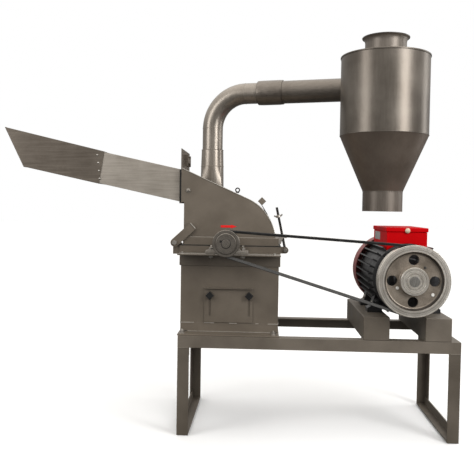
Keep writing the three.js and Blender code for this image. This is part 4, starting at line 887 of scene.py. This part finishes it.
def clamp():
    """The swing bolt with its wing nut, and the lifting eye."""
    out, side = Vector((-sin(BOLT_LEAN), 0, cos(BOLT_LEAN))), spoke(BOLT_LEAN)
    pin = Vector(JOINT_AT["swing_bolt_turn"])
    nut_seat = pin + out * (NUT_UP * MM)
    place = placer(pin, side, Y, out)
    rod = bmesh.new()
    lathe(rod, [(0, 10), (5.9, 10), (5.9, 88), (0, 88)], place, 28)
    threaded(rod, place, 6.0, 88, 202)
    eye = bmesh.new()
    across = placer(pin)
    lathe(eye, [(6.3, -5), (7.3, -6), (12.5, -6), (14, -4.5), (14, 4.5), (12.5, 6), (7.3, 6), (6.3, 5)],
          across, 48)
    for data in (rod, eye):
        bmesh.ops.recalc_face_normals(data, faces=data.faces)
    whole = merged(rod, eye)
    stand_in("swing_bolt", whole, DARK_BOLT)
    nut = bmesh.new()
    for turn in (0, pi):
        wing = placer(nut_seat, side * cos(turn), out, Y)
        prism(nut, [(8, 0), (20, 8), (20.5, 13), (17, 14.5), (14, 13), (7, 8)], wing, -2.4, 2.4)
    soften(nut, 1.0, 2)
    lathe(nut, [(6.3, 0), (11, 0), (11, 3), (9, 11.5), (8.5, 12), (6.3, 12)],
          placer(nut_seat, side, Y, out), 32)
    stand_in("wing_nut", nut, BOLT)
    ring = bmesh.new()
    low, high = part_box("lifting_eye")
    base = Vector(((low.x + high.x) / 2, (low.y + high.y) / 2, low.z))
    torus(ring, base + Z * 0.0133, 8.5, 2.7, X, Z)
    lathe(ring, [(0, 0.4), (7.5, 0.4), (7.5, 2.4), (5.4, 3.6), (4.5, 7), (0, 7)], placer(base, X, Y, Z), 32)
    stand_in("lifting_eye", ring, DARK_BOLT)


def merged(*parts):
    """One mesh from several, each keeping its own closed shell."""
    whole = bmesh.new()
    for part in parts:
        data = bpy.data.meshes.new("part")
        part.to_mesh(data)
        part.free()
        whole.from_mesh(data)
        bpy.data.meshes.remove(data)
    return whole


def torus(bm, centre, radius, thick, side, up, around=48, across=14):
    """A round ring in the plane of side and up."""
    normal = side.cross(up)
    rings = []
    for turn in turns(around):
        out = side * cos(turn) + up * sin(turn)
        middle = centre + out * radius * MM
        rings.append([middle + (out * cos(t) + normal * sin(t)) * thick * MM for t in turns(across)])
    loft(bm, rings, closed=True)


# ------------------------------------------------------------------ drive

def groove_profile(radius):
    """Rim with two V-grooves, from the front edge to the rear edge."""
    middle, half = PULLEY_FRONT + PULLEY_WIDTH / 2, PULLEY_PITCH / 2
    floor = radius - GROOVE_DEPTH
    points = [(radius - 1.2, PULLEY_FRONT), (radius, PULLEY_FRONT + 1.2)]
    for y in (middle - half, middle + half):
        points += [(radius, y - GROOVE_HALF), (floor, y - GROOVE_FLOOR), (floor, y + GROOVE_FLOOR),
                   (radius, y + GROOVE_HALF)]
    end = PULLEY_FRONT + PULLEY_WIDTH
    return points + [(radius, end - 1.2), (radius - 1.2, end)]


def motor_pulley():
    place = placer(MOTOR)
    front = PULLEY_FRONT
    web, back = front + WEB_FRONT, front + PULLEY_WIDTH
    rings = [(r + u, front - 8 + v) for r in (29, 37, 47) for u, v in ((-0.9, 0), (0, 1), (0.9, 0))]
    profile = [(SHAFT_BORE, front - 8), *rings, (HUB - 1, front - 8), (HUB, front - 7), (HUB, web - 4),
               (HUB + 4, web)]
    profile += [(RIM - 13, web)] + [(RIM - 13 + u, web - 11 + v) for u, v in arc(11, 90, 0, 6)]
    profile += [(RIM, front + 1.5), (RIM + 1.5, front), (146, front), (146.5, front + 0.7), (147.2, front)]
    profile += groove_profile(MOTOR_PULLEY)
    profile += [(RIM, back), (RIM - 2, front + WEB_REAR), (HUB, front + WEB_REAR), (HUB, back + 4)]
    profile += [(SHAFT_BORE, back + 4)]
    wheel = bmesh.new()
    lathe(wheel, profile, place, 144)
    holes = []
    for turn in turns(4):
        drill = bmesh.new()
        spot = mm(MOTOR, WEB_CIRCLE * cos(turn), 0, WEB_CIRCLE * sin(turn))
        lathe(drill, plug(WEB_HOLE, front + 4, front + 60), placer(spot), 40)
        holes.append(drill)
    wheel = carve(wheel, *holes)
    obj = stand_in("motor_pulley", wheel, PULLEY_FACE)
    behind_face, before_web = MOTOR.y + (front + 3) * MM, MOTOR.y + (web - 1) * MM
    recolour(obj, WEB_CAST, lambda at, normal: HUB + 1 < from_axis(at, MOTOR) < RIM and at.y > behind_face)
    # The rim's inner wall in front of the web is painted near black as shade.
    recolour(obj, RIM_WALL_SHADE,
             lambda at, normal: RIM - 9 < from_axis(at, MOTOR) < RIM + 0.5 and at.y < before_web)
    detail = bmesh.new()
    key = placer(mm(MOTOR, 15.5, front - 8.8, -15.5), (X + Z).normalized(), (Z - X).normalized(), Y)
    slab(detail, key, (-6, 6), (-5, 5), (-0.6, 30))
    lathe(detail, [(0, front - 9), (19.8, front - 9), (20.6, front - 8.2), (20.6, front), (0, front)],
          place, 48)
    piece("motor_shaft_end", detail, PULLEY_FACE, "motor_rotor", "plain_steel")
    # Three small discs on the web painted near white as glints.
    screws = bmesh.new()
    for x, z in ((-46, -25), (-66, -30), (80, -56)):
        spot = placer(mm(MOTOR, x, web - 0.2, z), X, Z, -Y)
        lathe(screws, [(0, -1), (7, -1), (7, 1.4), (5.6, 2.8), (0, 2.8)], spot, 24)
    piece("pulley_web_glint_spots", screws, GLINT_WHITE, "motor_rotor", "plain_steel")
    # Dark discs at the shaft's centre hole and a tapped hole in the web: painted shade in the holes.
    dark = bmesh.new()
    lathe(dark, [(0, front - 9.2), (3.6, front - 9.2), (3.6, front - 8), (0, front - 8)], place, 24)
    tapped = placer(mm(MOTOR, 46, web - 0.2, 56), X, Z, -Y)
    lathe(dark, [(0, -1), (6, -1), (6, 0.4), (4.4, 0.8), (3.8, 0.2), (0, 0.2)], tapped, 24)
    piece("pulley_hole_shade_marks", dark, DARK_BOLT, "motor_rotor", "plain_steel")


def mill_pulley():
    place = placer(MILL)
    front = PULLEY_FRONT
    profile = [(18.3, front - 7), (41.5, front - 7), (43, front - 5.5), (43, front), (45, front),
               (45.4, front + 0.8), (46.2, front)]
    profile += groove_profile(MILL_PULLEY) + [(18.3, front + PULLEY_WIDTH)]
    wheel = bmesh.new()
    lathe(wheel, profile, place, 112)
    stand_in("mill_pulley", wheel, SMALL_PULLEY)
    detail = bmesh.new()
    lathe(detail, [(0, front - 9), (17, front - 9), (17.8, front - 8.2), (17.8, front), (0, front)],
          place, 48)
    piece("mill_shaft_end", detail, SMALL_PULLEY, "mill_rotor", "plain_steel")
    dark = bmesh.new()
    lathe(dark, [(17.9, front - 7.4), (20.6, front - 7.4), (20.6, front - 6), (17.9, front - 6)], place, 48)
    key = placer(mm(MILL, -21, front - 7.6, 9), Vector((0.42, 0, 0.91)), Vector((-0.91, 0, 0.42)), Y)
    slab(dark, key, (-5, 5), (-4.5, 4.5), (0.0, 20))
    piece("mill_pulley_key", dark, DARK_BOLT, "mill_rotor", "plain_steel")


def belt(node, offset):
    """A V-belt round both pulleys, with softened shoulders."""
    along = Vector((MOTOR.x - MILL.x, MOTOR.z - MILL.z)) / MM
    heading = atan2(along.y, along.x)
    spread = acos((MILL_PULLEY - MOTOR_PULLEY) / along.length)
    section = [(-8, -2.0), (-6.8, 0), (6.8, 0), (8, -2.0), (4.4, -10.2), (3.4, -11), (-3.4, -11),
               (-4.4, -10.2)]
    rings = []
    for centre, radius, start, end, steps in (
        (MILL, MILL_PULLEY, heading + spread, heading + 2 * pi - spread, 44),
        (MOTOR, MOTOR_PULLEY, heading - spread, heading + spread, 84),
    ):
        for i in range(steps + 1):
            out = spoke(start + (end - start) * i / steps)
            rings.append([centre + (out * (radius + lift) + Y * (offset + wide)) * MM
                          for wide, lift in section])
    bm = bmesh.new()
    loft(bm, rings, closed=True)
    slope = along.y / along.x
    recolour(stand_in(node, bm, RUBBER), DUSTY_RUBBER, lambda at, normal: (
        normal.z > 0.2 and at.z < MILL.z + slope * (at.x - MILL.x) and MILL.x < at.x < MOTOR.x))


def motor():
    refine("motor_frame", MOTOR_BLACK, 1.3)
    refine("motor_rotor", STEEL, 0.6)
    place = placer(MOTOR)
    shield = bmesh.new()
    profile = [(SHAFT_BORE, 44), (57, 44), (58, 45), (64, 50), (84, 51), (88, 54), (112, 54), (118, 56)]
    profile += [(142, 62), (148, 65), (SHIELD_EDGE, 69), (SHIELD_EDGE, SHIELD_REAR)]
    profile += [(SHAFT_BORE, SHIELD_REAR)]
    lathe(shield, profile, place, 112)
    stand_in("motor_end_shield", shield, MOTOR_BLACK)
    ribs = bmesh.new()
    for k in range(8):
        out = spoke(radians(22.5 + 45 * k))
        slab(ribs, placer(MOTOR, out.cross(Y), out, Y), (-3, 3), (62, 138), (48, 62))
    soften(ribs, 1.2, 2)
    for k in range(4):
        turn = radians(45 + 90 * k)
        hex_bolt(ribs, mm(MOTOR, 138 * cos(turn), 63, 138 * sin(turn)), -Y, 13, 8, 10)
    piece("end_shield_ribs", ribs, MOTOR_BLACK, "machine", "motor_black")
    cowl()
    terminal_box()
    motor_feet()


def cowl():
    """Fan cowl with a ring of intake holes in its rear face."""
    place = placer(MOTOR)
    shell = bmesh.new()
    flat, shoulder = COWL_RADIUS - COWL_CROWN, COWL_REAR - COWL_CROWN
    rim = [(flat + COWL_CROWN * sin(t), shoulder + COWL_CROWN * cos(t)) for t in quarter(8)]
    inner = [(r - 2.8, y - 2.4) for r, y in rim]
    skirt = [(COWL_RADIUS, COWL_FRONT), (COWL_RADIUS - 3, COWL_FRONT)]
    lathe(shell, [(0, COWL_REAR)] + rim + skirt + inner[::-1][:-1] + [(0, COWL_REAR - 2.6)], place, 112)
    holes = []
    for radius, count in ((34, 9), (60, 16), (86, 23), (112, 30)):
        for k in range(count):
            turn = 2 * pi * (k + 0.5) / count
            drill = bmesh.new()
            spot = mm(MOTOR, radius * cos(turn), 0, radius * sin(turn))
            lathe(drill, plug(8, COWL_REAR - 15, COWL_REAR + 10), placer(spot), 12)
            holes.append(drill)
    shell = carve(shell, merged(*holes))
    stand_in("fan_cowl", shell, COWL_RED)
    screws = bmesh.new()
    for k in range(4):
        out = spoke(radians(45 + 90 * k))
        hex_bolt(screws, MOTOR + out * (COWL_RADIUS * MM) + Y * 0.452, out, 8, 4, 7)
    piece("cowl_screws", screws, BOLT, "machine", "plain_steel")


def terminal_box():
    """Box and lid with a cream screw knob, a blank plate and a cable gland."""
    refine("terminal_box", BOX_RED, 1.8, 3)
    refine("terminal_box_lid", BOX_RED, 3.0, 3)
    low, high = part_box("terminal_box")
    lid_low, lid_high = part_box("terminal_box_lid")
    knob = bmesh.new()
    spot = Vector(((low.x + high.x) / 2 + 0.001, lid_low.y, lid_low.z + 0.006))
    lathe(knob, [(0, -1), (11, -1), (11, 3), (9.5, 5.5), (6, 7.5), (0, 8.4)], placer(spot, X, Z, -Y), 40)
    piece("terminal_box_knob", knob, CREAM, "machine")
    rear_knob = bmesh.new()
    spot = Vector(((low.x + high.x) / 2, lid_high.y, lid_low.z + 0.006))
    lathe(rear_knob, [(0, -1), (9, -1), (9, 3), (7, 5), (0, 6)], placer(spot, X, Z, Y), 40)
    piece("terminal_box_rear_knob", rear_knob, CREAM, "machine")
    plate = bmesh.new()
    side = placer(Vector((low.x, low.y + 0.228, low.z + 0.058)), Y, Z, -X)
    slab(plate, side, (-65, 65), (-18, 18), (-0.4, 1.2))
    soften(plate, 0.4, 2)
    piece("blank_plate", plate, PLATE_GREY, "machine")
    gland = bmesh.new()
    behind = placer(Vector(((low.x + high.x) / 2 + 0.040, high.y, low.z + 0.071)), X, Z, Y)
    lathe(gland, [(0, -1), (12, -1), (12, 4), (11, 5), (0, 5)], behind, 6)
    lathe(gland, [(0, 4), (9.5, 4), (9.5, 14), (8, 16), (5, 17), (5, 10), (0, 10)], behind, 32)
    piece("cable_gland", gland, KNOB, "machine", "knob_black")


def motor_feet():
    """The bolts that hold the motor's four feet to its rails."""
    bolts = bmesh.new()
    for x in (-127, 127):
        for y in (158, 366):
            hex_bolt(bolts, mm(MOTOR, x + (8 if x > 0 else -8), y, -132), Z, 19, 10, 12, 8)
    piece("motor_foot_bolts", bolts, BOLT, "machine", "plain_steel")


# ------------------------------------------------------------------ blower and ducting

def scroll(inset, top):
    """The blower's spiral outline, widening clockwise from the cut-off to the outlet."""
    steps = 96
    points = [(OUTLET_RIGHT - inset, top)]
    for i in range(steps + 1):
        turn = radians(SCROLL_CUTOFF - (SCROLL_CUTOFF + 180) * i / steps)
        radius = SCROLL_START + (SCROLL_END - SCROLL_START) * i / steps - inset
        points.append((radius * cos(turn), radius * sin(turn)))
    return points + [(inset - SCROLL_END, top)]


def blower():
    place = placer(MILL)
    outer, inner, bore = bmesh.new(), bmesh.new(), bmesh.new()
    prism(outer, scroll(0, OUTLET_TOP), place, BLOWER_FRONT, BLOWER_REAR)
    prism(inner, scroll(BLOWER_WALL, OUTLET_TOP + 5), place, BLOWER_FRONT + BLOWER_WALL, BLOWER_REAR + 5)
    lathe(bore, plug(24, BLOWER_FRONT - 15, BLOWER_FRONT + 15), place, 48)
    stand_in("blower_housing", carve(outer, inner, bore), CASING)
    cover, eye = bmesh.new(), bmesh.new()
    prism(cover, scroll(0, OUTLET_TOP), place, COVER_FACE, COVER_BACK)
    lathe(eye, plug(EYE, 600, 620), place, 64)
    cover = carve(cover, eye)
    box_shell, box_hollow = bmesh.new(), bmesh.new()
    out = placer(MILL, Y, Z, X)
    outline = [(SUCTION_FRONT, SUCTION_LOW), (SUCTION_BACK, SUCTION_LOW), (SUCTION_BACK, SUCTION_HIGH),
               (COVER_BACK, SUCTION_HIGH), (COVER_BACK, SUCTION_ROOF), (SUCTION_FRONT, SUCTION_ROOF)]
    prism(box_shell, outline, out, -SUCTION_HIGH, SUCTION_HIGH)
    soften(box_shell, 1.4, 2)
    floor, back, roof = SUCTION_LOW + BLOWER_WALL, SUCTION_BACK - BLOWER_WALL, SUCTION_ROOF - BLOWER_WALL
    top = SUCTION_HIGH - BLOWER_WALL
    prism(box_hollow, [(430, floor), (back, floor), (back, top), (600, top), (600, roof), (430, roof)],
          out, -top, top)
    stand_in("suction_duct", merged(cover, carve(box_shell, box_hollow)), CASING)
    bolts = bmesh.new()
    growth, sweep = SCROLL_END - SCROLL_START, SCROLL_CUTOFF + 180
    for k in range(12):
        turn = radians(98 - 262 * k / 11)
        radius = SCROLL_START + growth * (SCROLL_CUTOFF - degrees(turn)) / sweep - 9
        if abs(radius * cos(turn)) > 106 or radius * sin(turn) > 104:
            hex_bolt(bolts, mm(MILL, radius * cos(turn), COVER_BACK, radius * sin(turn)), Y, 10, 6, 8)
    piece("blower_cover_bolts", bolts, BOLT, "machine", "plain_steel")
    refine("blower_impeller", SHADED_SHELF, 0.5)


DUCT_TURN = radians(-15)
DUCT_WAY = Vector((cos(DUCT_TURN), sin(DUCT_TURN), 0))
DUCT_SIDE = Vector((-sin(DUCT_TURN), cos(DUCT_TURN), 0))
DUCT_FOOT = Vector((MILL.x - 0.112, MILL.y + 0.562, 0))
DUCT_LEVEL = 1553
CYCLONE_AT = (865, -138)
CYCLONE_RADIUS = 196


def duct_point(along, aside, height):
    return DUCT_FOOT + (DUCT_WAY * along + DUCT_SIDE * aside + Z * height) * MM


def pipe_rings(radius):
    """Rings of the bent riser pipe."""
    centres = [((0, PIPE_LOW), 0)]
    centres += [((BEND - BEND * cos(t), DUCT_LEVEL - BEND + BEND * sin(t)), t) for t in quarter(30)]
    centres.append(((PIPE_END, DUCT_LEVEL), pi / 2))
    rings = []
    for (along, height), turn in centres:
        ring = []
        for around in turns(64):
            lift, aside = radius * cos(around), radius * sin(around)
            ring.append(duct_point(along - lift * cos(turn), aside, height + lift * sin(turn)))
        rings.append(ring)
    return rings


def riser():
    elbow = bmesh.new()
    loft(elbow, pipe_rings(PIPE) + pipe_rings(PIPE_BORE)[::-1], closed=True)
    stand_in("riser_elbow", elbow, DUCT)
    seams = bmesh.new()
    for along, height, tilt in ((0, DUCT_LEVEL - BEND + 2, 0), (BEND, DUCT_LEVEL, 90)):
        ring_bead(seams, along, height, tilt, 51.2)
    piece("elbow_seams", seams, DUCT, "machine", "duct_sheet")
    low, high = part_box("riser_base")
    middle = Vector(((low.x + high.x) / 2, (low.y + high.y) / 2, 0))
    half_x, half_y = (high.x - low.x) / 2 / MM, (high.y - low.y) / 2 / MM

    def section(inset, height, share, radius):
        """A ring between the rectangle (share 0) and the round socket (share 1)."""
        ring = []
        for k in range(96):
            turn = 2 * pi * (k + 0.5) / 96
            c, s = cos(turn), sin(turn)
            flat = min((half_x - inset) / abs(c), (half_y - inset) / abs(s))
            reach = flat + (radius - inset - flat) * share
            ring.append(middle + Vector((reach * c, reach * s, height)) * MM)
        return ring

    def skin(inset):
        """The base's rings from its foot to the socket's end."""
        steps = [(BASE_LOW + (BASE_THROAT - BASE_LOW) * i / 10, i / 10) for i in range(11)]
        rings = [section(inset, height, share, SOCKET) for height, share in steps]
        return rings + [section(inset, BASE_TOP, 1, SOCKET_END)]

    base = bmesh.new()
    loft(base, skin(0) + skin(SHEET)[::-1], closed=True)
    stand_in("riser_base", base, DUCT)
    collar = bmesh.new()
    for height, reach in ((BASE_THROAT, SOCKET + 0.2), (BASE_TOP - 2, SOCKET_END + 0.2)):
        bead_loop(collar, hoop(middle, reach, height, 96), 1.3)
    piece("socket_beads", collar, DUCT, "machine", "duct_sheet")


def bead_loop(bm, loop, radius):
    """A round bead along a closed loop of points."""
    rings = []
    count = len(loop)
    middle = sum(loop, Vector()) / count
    for i, point in enumerate(loop):
        heading = (loop[(i + 1) % count] - loop[i - 1]).normalized()
        out = (point - middle).normalized()
        up = heading.cross(out)
        rings.append([point + (out * cos(t) + up * sin(t)) * radius * MM for t in turns(8)])
    loft(bm, rings, closed=True)


def ring_bead(bm, along, height, tilt, radius):
    """A seam bead round the riser pipe, across the vertical or the level run."""
    loop = []
    for turn in turns(72):
        lift, aside = radius * cos(turn), radius * sin(turn)
        if tilt:
            loop.append(duct_point(along, aside, height + lift))
        else:
            loop.append(duct_point(along + lift, aside, height))
    bead_loop(bm, loop, 0.9)


def cope(aside):
    """How far along the duct the cyclone's wall stands, at a distance to its side."""
    return CYCLONE_AT[0] - sqrt((CYCLONE_RADIUS + 0.3) ** 2 - (aside - CYCLONE_AT[1]) ** 2)


def cross_duct():
    """The level duct, its end shaped to the cyclone's wall, with its sleeve and lip."""
    rings = []
    steps = [i / 10 for i in range(11)]
    for radius, shares in ((CROSS_RADIUS, steps), (CROSS_BORE, steps[::-1])):
        for share in shares:
            ring = []
            for turn in turns(96):
                aside, lift = radius * cos(turn), radius * sin(turn)
                ring.append(duct_point(CROSS_START + (cope(aside) - CROSS_START) * share, aside,
                                       DUCT_LEVEL + lift))
            rings.append(ring)
    tube = bmesh.new()
    loft(tube, rings, closed=True)
    sleeve = bmesh.new()
    place = placer(duct_point(0, 0, DUCT_LEVEL), DUCT_SIDE, Z, DUCT_WAY)
    profile = [(52, SLEEVE_START), (58, SLEEVE_START), (59, SLEEVE_START + 1.5), (SLEEVE, 264), (SLEEVE, 352),
               (59, 358), (59.6, 362), (58, SLEEVE_END), (55.2, SLEEVE_END), (55.2, 312), (52, 308)]
    lathe(sleeve, profile, place, 96)
    stand_in("cross_duct", merged(tube, sleeve), SHADED_CROSS_COAT)
    lip = bmesh.new()
    ring_bead(lip, 239.6, DUCT_LEVEL, 90, 56)
    piece("sleeve_lip", lip, DARK_BOLT, "machine", "duct_sheet")
    seam = bmesh.new()
    loop = []
    for turn in turns(96):
        aside, lift = 56 * cos(turn), 56 * sin(turn)
        loop.append(duct_point(cope(aside) - 0.5, aside, DUCT_LEVEL + lift))
    bead_loop(seam, loop, 2.4)
    piece("duct_inlet_weld", seam, DUCT, "machine", "duct_sheet")


def cyclone():
    axis = duct_point(*CYCLONE_AT, 0)
    place = placer(axis, X, Y, Z)
    body, inlet = bmesh.new(), bmesh.new()
    radius = CYCLONE_RADIUS
    profile = [(radius, BARREL_TOP), (radius, SEAM + 2), (radius - 0.4, SEAM - 1),
               (SPOUT_RADIUS + 0.4, CONE_LOW + 1), (SPOUT_RADIUS, CONE_LOW), (SPOUT_BORE, CONE_LOW),
               (radius - 3, SEAM), (radius - 3, BARREL_TOP)]
    lathe(body, profile, place, 160)
    mouth = axis + (DUCT_SIDE * -CYCLONE_AT[1] + Z * DUCT_LEVEL) * MM
    lathe(inlet, plug(52, -240, 0), placer(mouth, DUCT_SIDE, Z, DUCT_WAY), 64)
    shell = stand_in("cyclone_body", carve(body, inlet), SHADED_BARREL_COAT)
    # Below the seam, the browner coat with painted shade.
    recolour(shell, BROWN_SHADED_CONE, lambda at, normal: at.z < (SEAM - 0.5) * MM)
    roof = bmesh.new()
    profile = [(88, 1500), (COLLAR_RADIUS, 1500), (COLLAR_RADIUS, 1662.3), (radius, 1662.3), (198.6, 1661),
               (199, 1664), (198, 1666.3), (93, 1666.3), (COLLAR_RADIUS, 1668), (COLLAR_RADIUS, FLARE_START)]
    profile += [(COLLAR_RADIUS + 12 * (1 - cos(t)), FLARE_START + 24 * sin(t) * 0.95) for t in quarter(8)[1:]]
    profile += [(FLARE, COLLAR_TOP - 3), (FLARE, COLLAR_TOP - 1), (103.8, COLLAR_TOP), (101, COLLAR_TOP),
                (88, 1728)]
    lathe(roof, profile, place, 128)
    top = stand_in("cyclone_roof", roof, SHADED_BARREL_COAT)
    recolour(top, COLLAR, lambda at, normal: at.z > 1.668)
    recolour(top, DARK_BOLT, lambda at, normal: at.z > 1.7485)
    spout = bmesh.new()
    lathe(spout, [(SPOUT_RADIUS, CONE_LOW - 0.3), (SPOUT_RADIUS, SPOUT_LOW + 2), (89.2, SPOUT_LOW + 0.8),
                  (88.2, SPOUT_LOW), (SPOUT_BORE, SPOUT_LOW), (SPOUT_BORE, CONE_LOW - 0.3)], place, 128)
    stand_in("cyclone_spout", spout, SPOUT)
    beads = bmesh.new()
    for radius, height, thick in ((CYCLONE_RADIUS, SEAM, 1.2), (88.7, CONE_LOW, 1.2), (197.4, 1661.5, 1.6)):
        bead_loop(beads, hoop(axis, radius, height, 144), thick)
    piece("cyclone_seam_beads", beads, SHADED_BARREL_COAT, "machine", "duct_sheet")


# ------------------------------------------------------------------ rotor

def rotor():
    for node in [n for n in frame["nodes"] if n.startswith(("rotor_disc", "hammer_"))] + ["mill_shaft"]:
        refine(node, STEEL, 0.6)


# ------------------------------------------------------------------ stage

SKY_TOP, SKY_LEVEL, SKY_BELOW = 1.68, 0.20, 0.06


def studio_world():
    """White behind the object; the light itself is bright overhead and dim towards the floor."""
    world = bpy.data.worlds.new("studio")
    bpy.context.scene.world = world
    world.use_nodes = True
    tree = world.node_tree
    plain = tree.nodes["Background"]
    plain.inputs["Color"].default_value = (1, 1, 1, 1)
    plain.inputs["Strength"].default_value = 1.0
    shaded = tree.nodes.new("ShaderNodeBackground")
    shaded.inputs["Color"].default_value = (1.0, 0.985, 0.96, 1)
    where = tree.nodes.new("ShaderNodeTexCoord")
    split = tree.nodes.new("ShaderNodeSeparateXYZ")
    tree.links.new(where.outputs["Generated"], split.inputs[0])
    above, below = (tree.nodes.new("ShaderNodeMapRange") for _ in range(2))
    for node, end, strength in ((above, 1.0, SKY_TOP), (below, -1.0, SKY_BELOW)):
        node.inputs["From Max"].default_value = end
        node.inputs["To Min"].default_value = SKY_LEVEL / 2
        node.inputs["To Max"].default_value = strength - SKY_LEVEL / 2
        tree.links.new(split.outputs["Z"], node.inputs["Value"])
    total = tree.nodes.new("ShaderNodeMath")
    tree.links.new(above.outputs["Result"], total.inputs[0])
    tree.links.new(below.outputs["Result"], total.inputs[1])
    tree.links.new(total.outputs["Value"], shaded.inputs["Strength"])
    path = tree.nodes.new("ShaderNodeLightPath")
    mix = tree.nodes.new("ShaderNodeMixShader")
    tree.links.new(path.outputs["Is Camera Ray"], mix.inputs["Fac"])
    tree.links.new(shaded.outputs["Background"], mix.inputs[1])
    tree.links.new(plain.outputs["Background"], mix.inputs[2])
    tree.links.new(mix.outputs["Shader"], tree.nodes["World Output"].inputs["Surface"])


def floor_and_lights():
    bm = bmesh.new()
    slab(bm, placer(Vector((0, 0, -0.0015))), (-30000, 30000), (-2, 0), (-30000, 30000))
    floor = to_object("studio_floor", bm)
    floor.visible_glossy = False
    floor.visible_diffuse = False
    pale = bpy.data.materials.new("pale_floor")
    pale.use_nodes = True
    shader = pale.node_tree.nodes["Principled BSDF"]
    shader.inputs["Base Color"].default_value = (0.93, 0.93, 0.93, 1)
    shader.inputs["Roughness"].default_value = 0.9
    floor.data.materials.append(pale)
    studio_world()
    softbox("key_light", (2.5, -2.3, 2.0), 1.1, 56, 2.4)
    softbox("rim_light", (3.4, 0.8, 1.6), 0.8, 14, 2.0)
    softbox("fill_light", (-3.2, -2.4, 1.9), 1.6, 46, 2.6)


def softbox(name, spot, width, power, height):
    light = bpy.data.lights.new(name, "AREA")
    light.shape = "RECTANGLE"
    light.size = width
    light.size_y = height
    light.energy = power
    obj = bpy.data.objects.new(name, light)
    obj.location = spot
    obj.rotation_euler = (Vector((0, 0, 0.95)) - obj.location).to_track_quat("-Z", "Y").to_euler()
    bpy.context.scene.collection.objects.link(obj)


def camera():
    yaw, pitch, roll = (radians(a) for a in (2.409, -1.895, 0.913))
    ahead = Vector((-sin(yaw) * cos(pitch), cos(yaw) * cos(pitch), sin(pitch)))
    right = Vector((cos(yaw), sin(yaw), 0))
    up = right.cross(ahead)
    level_right, level_up = right, up
    right = level_right * cos(roll) + level_up * sin(roll)
    up = level_up * cos(roll) - level_right * sin(roll)
    data = bpy.data.cameras.new("camera")
    data.lens = 49.146
    data.sensor_width = 36
    obj = bpy.data.objects.new("camera", data)
    turn = Matrix((right, up, -ahead)).transposed()
    obj.matrix_world = Matrix.Translation(Vector((0.1625, -3.0527, 0.9852))) @ turn.to_4x4()
    bpy.context.scene.collection.objects.link(obj)
    bpy.context.scene.camera = obj


camera()
stand()
casings()
feed()
bearing_block("pillow_block_front", -1)
bearing_block("pillow_block_rear", 1)
clamp()
motor_pulley()
mill_pulley()
belt("drive_belt_front", PULLEY_FRONT + (PULLEY_WIDTH - PULLEY_PITCH) / 2)
belt("drive_belt_rear", PULLEY_FRONT + (PULLEY_WIDTH + PULLEY_PITCH) / 2)
motor()
blower()
riser()
cross_duct()
cyclone()
rotor()
floor_and_lights()
bpy.context.scene.view_settings.view_transform = "Standard"
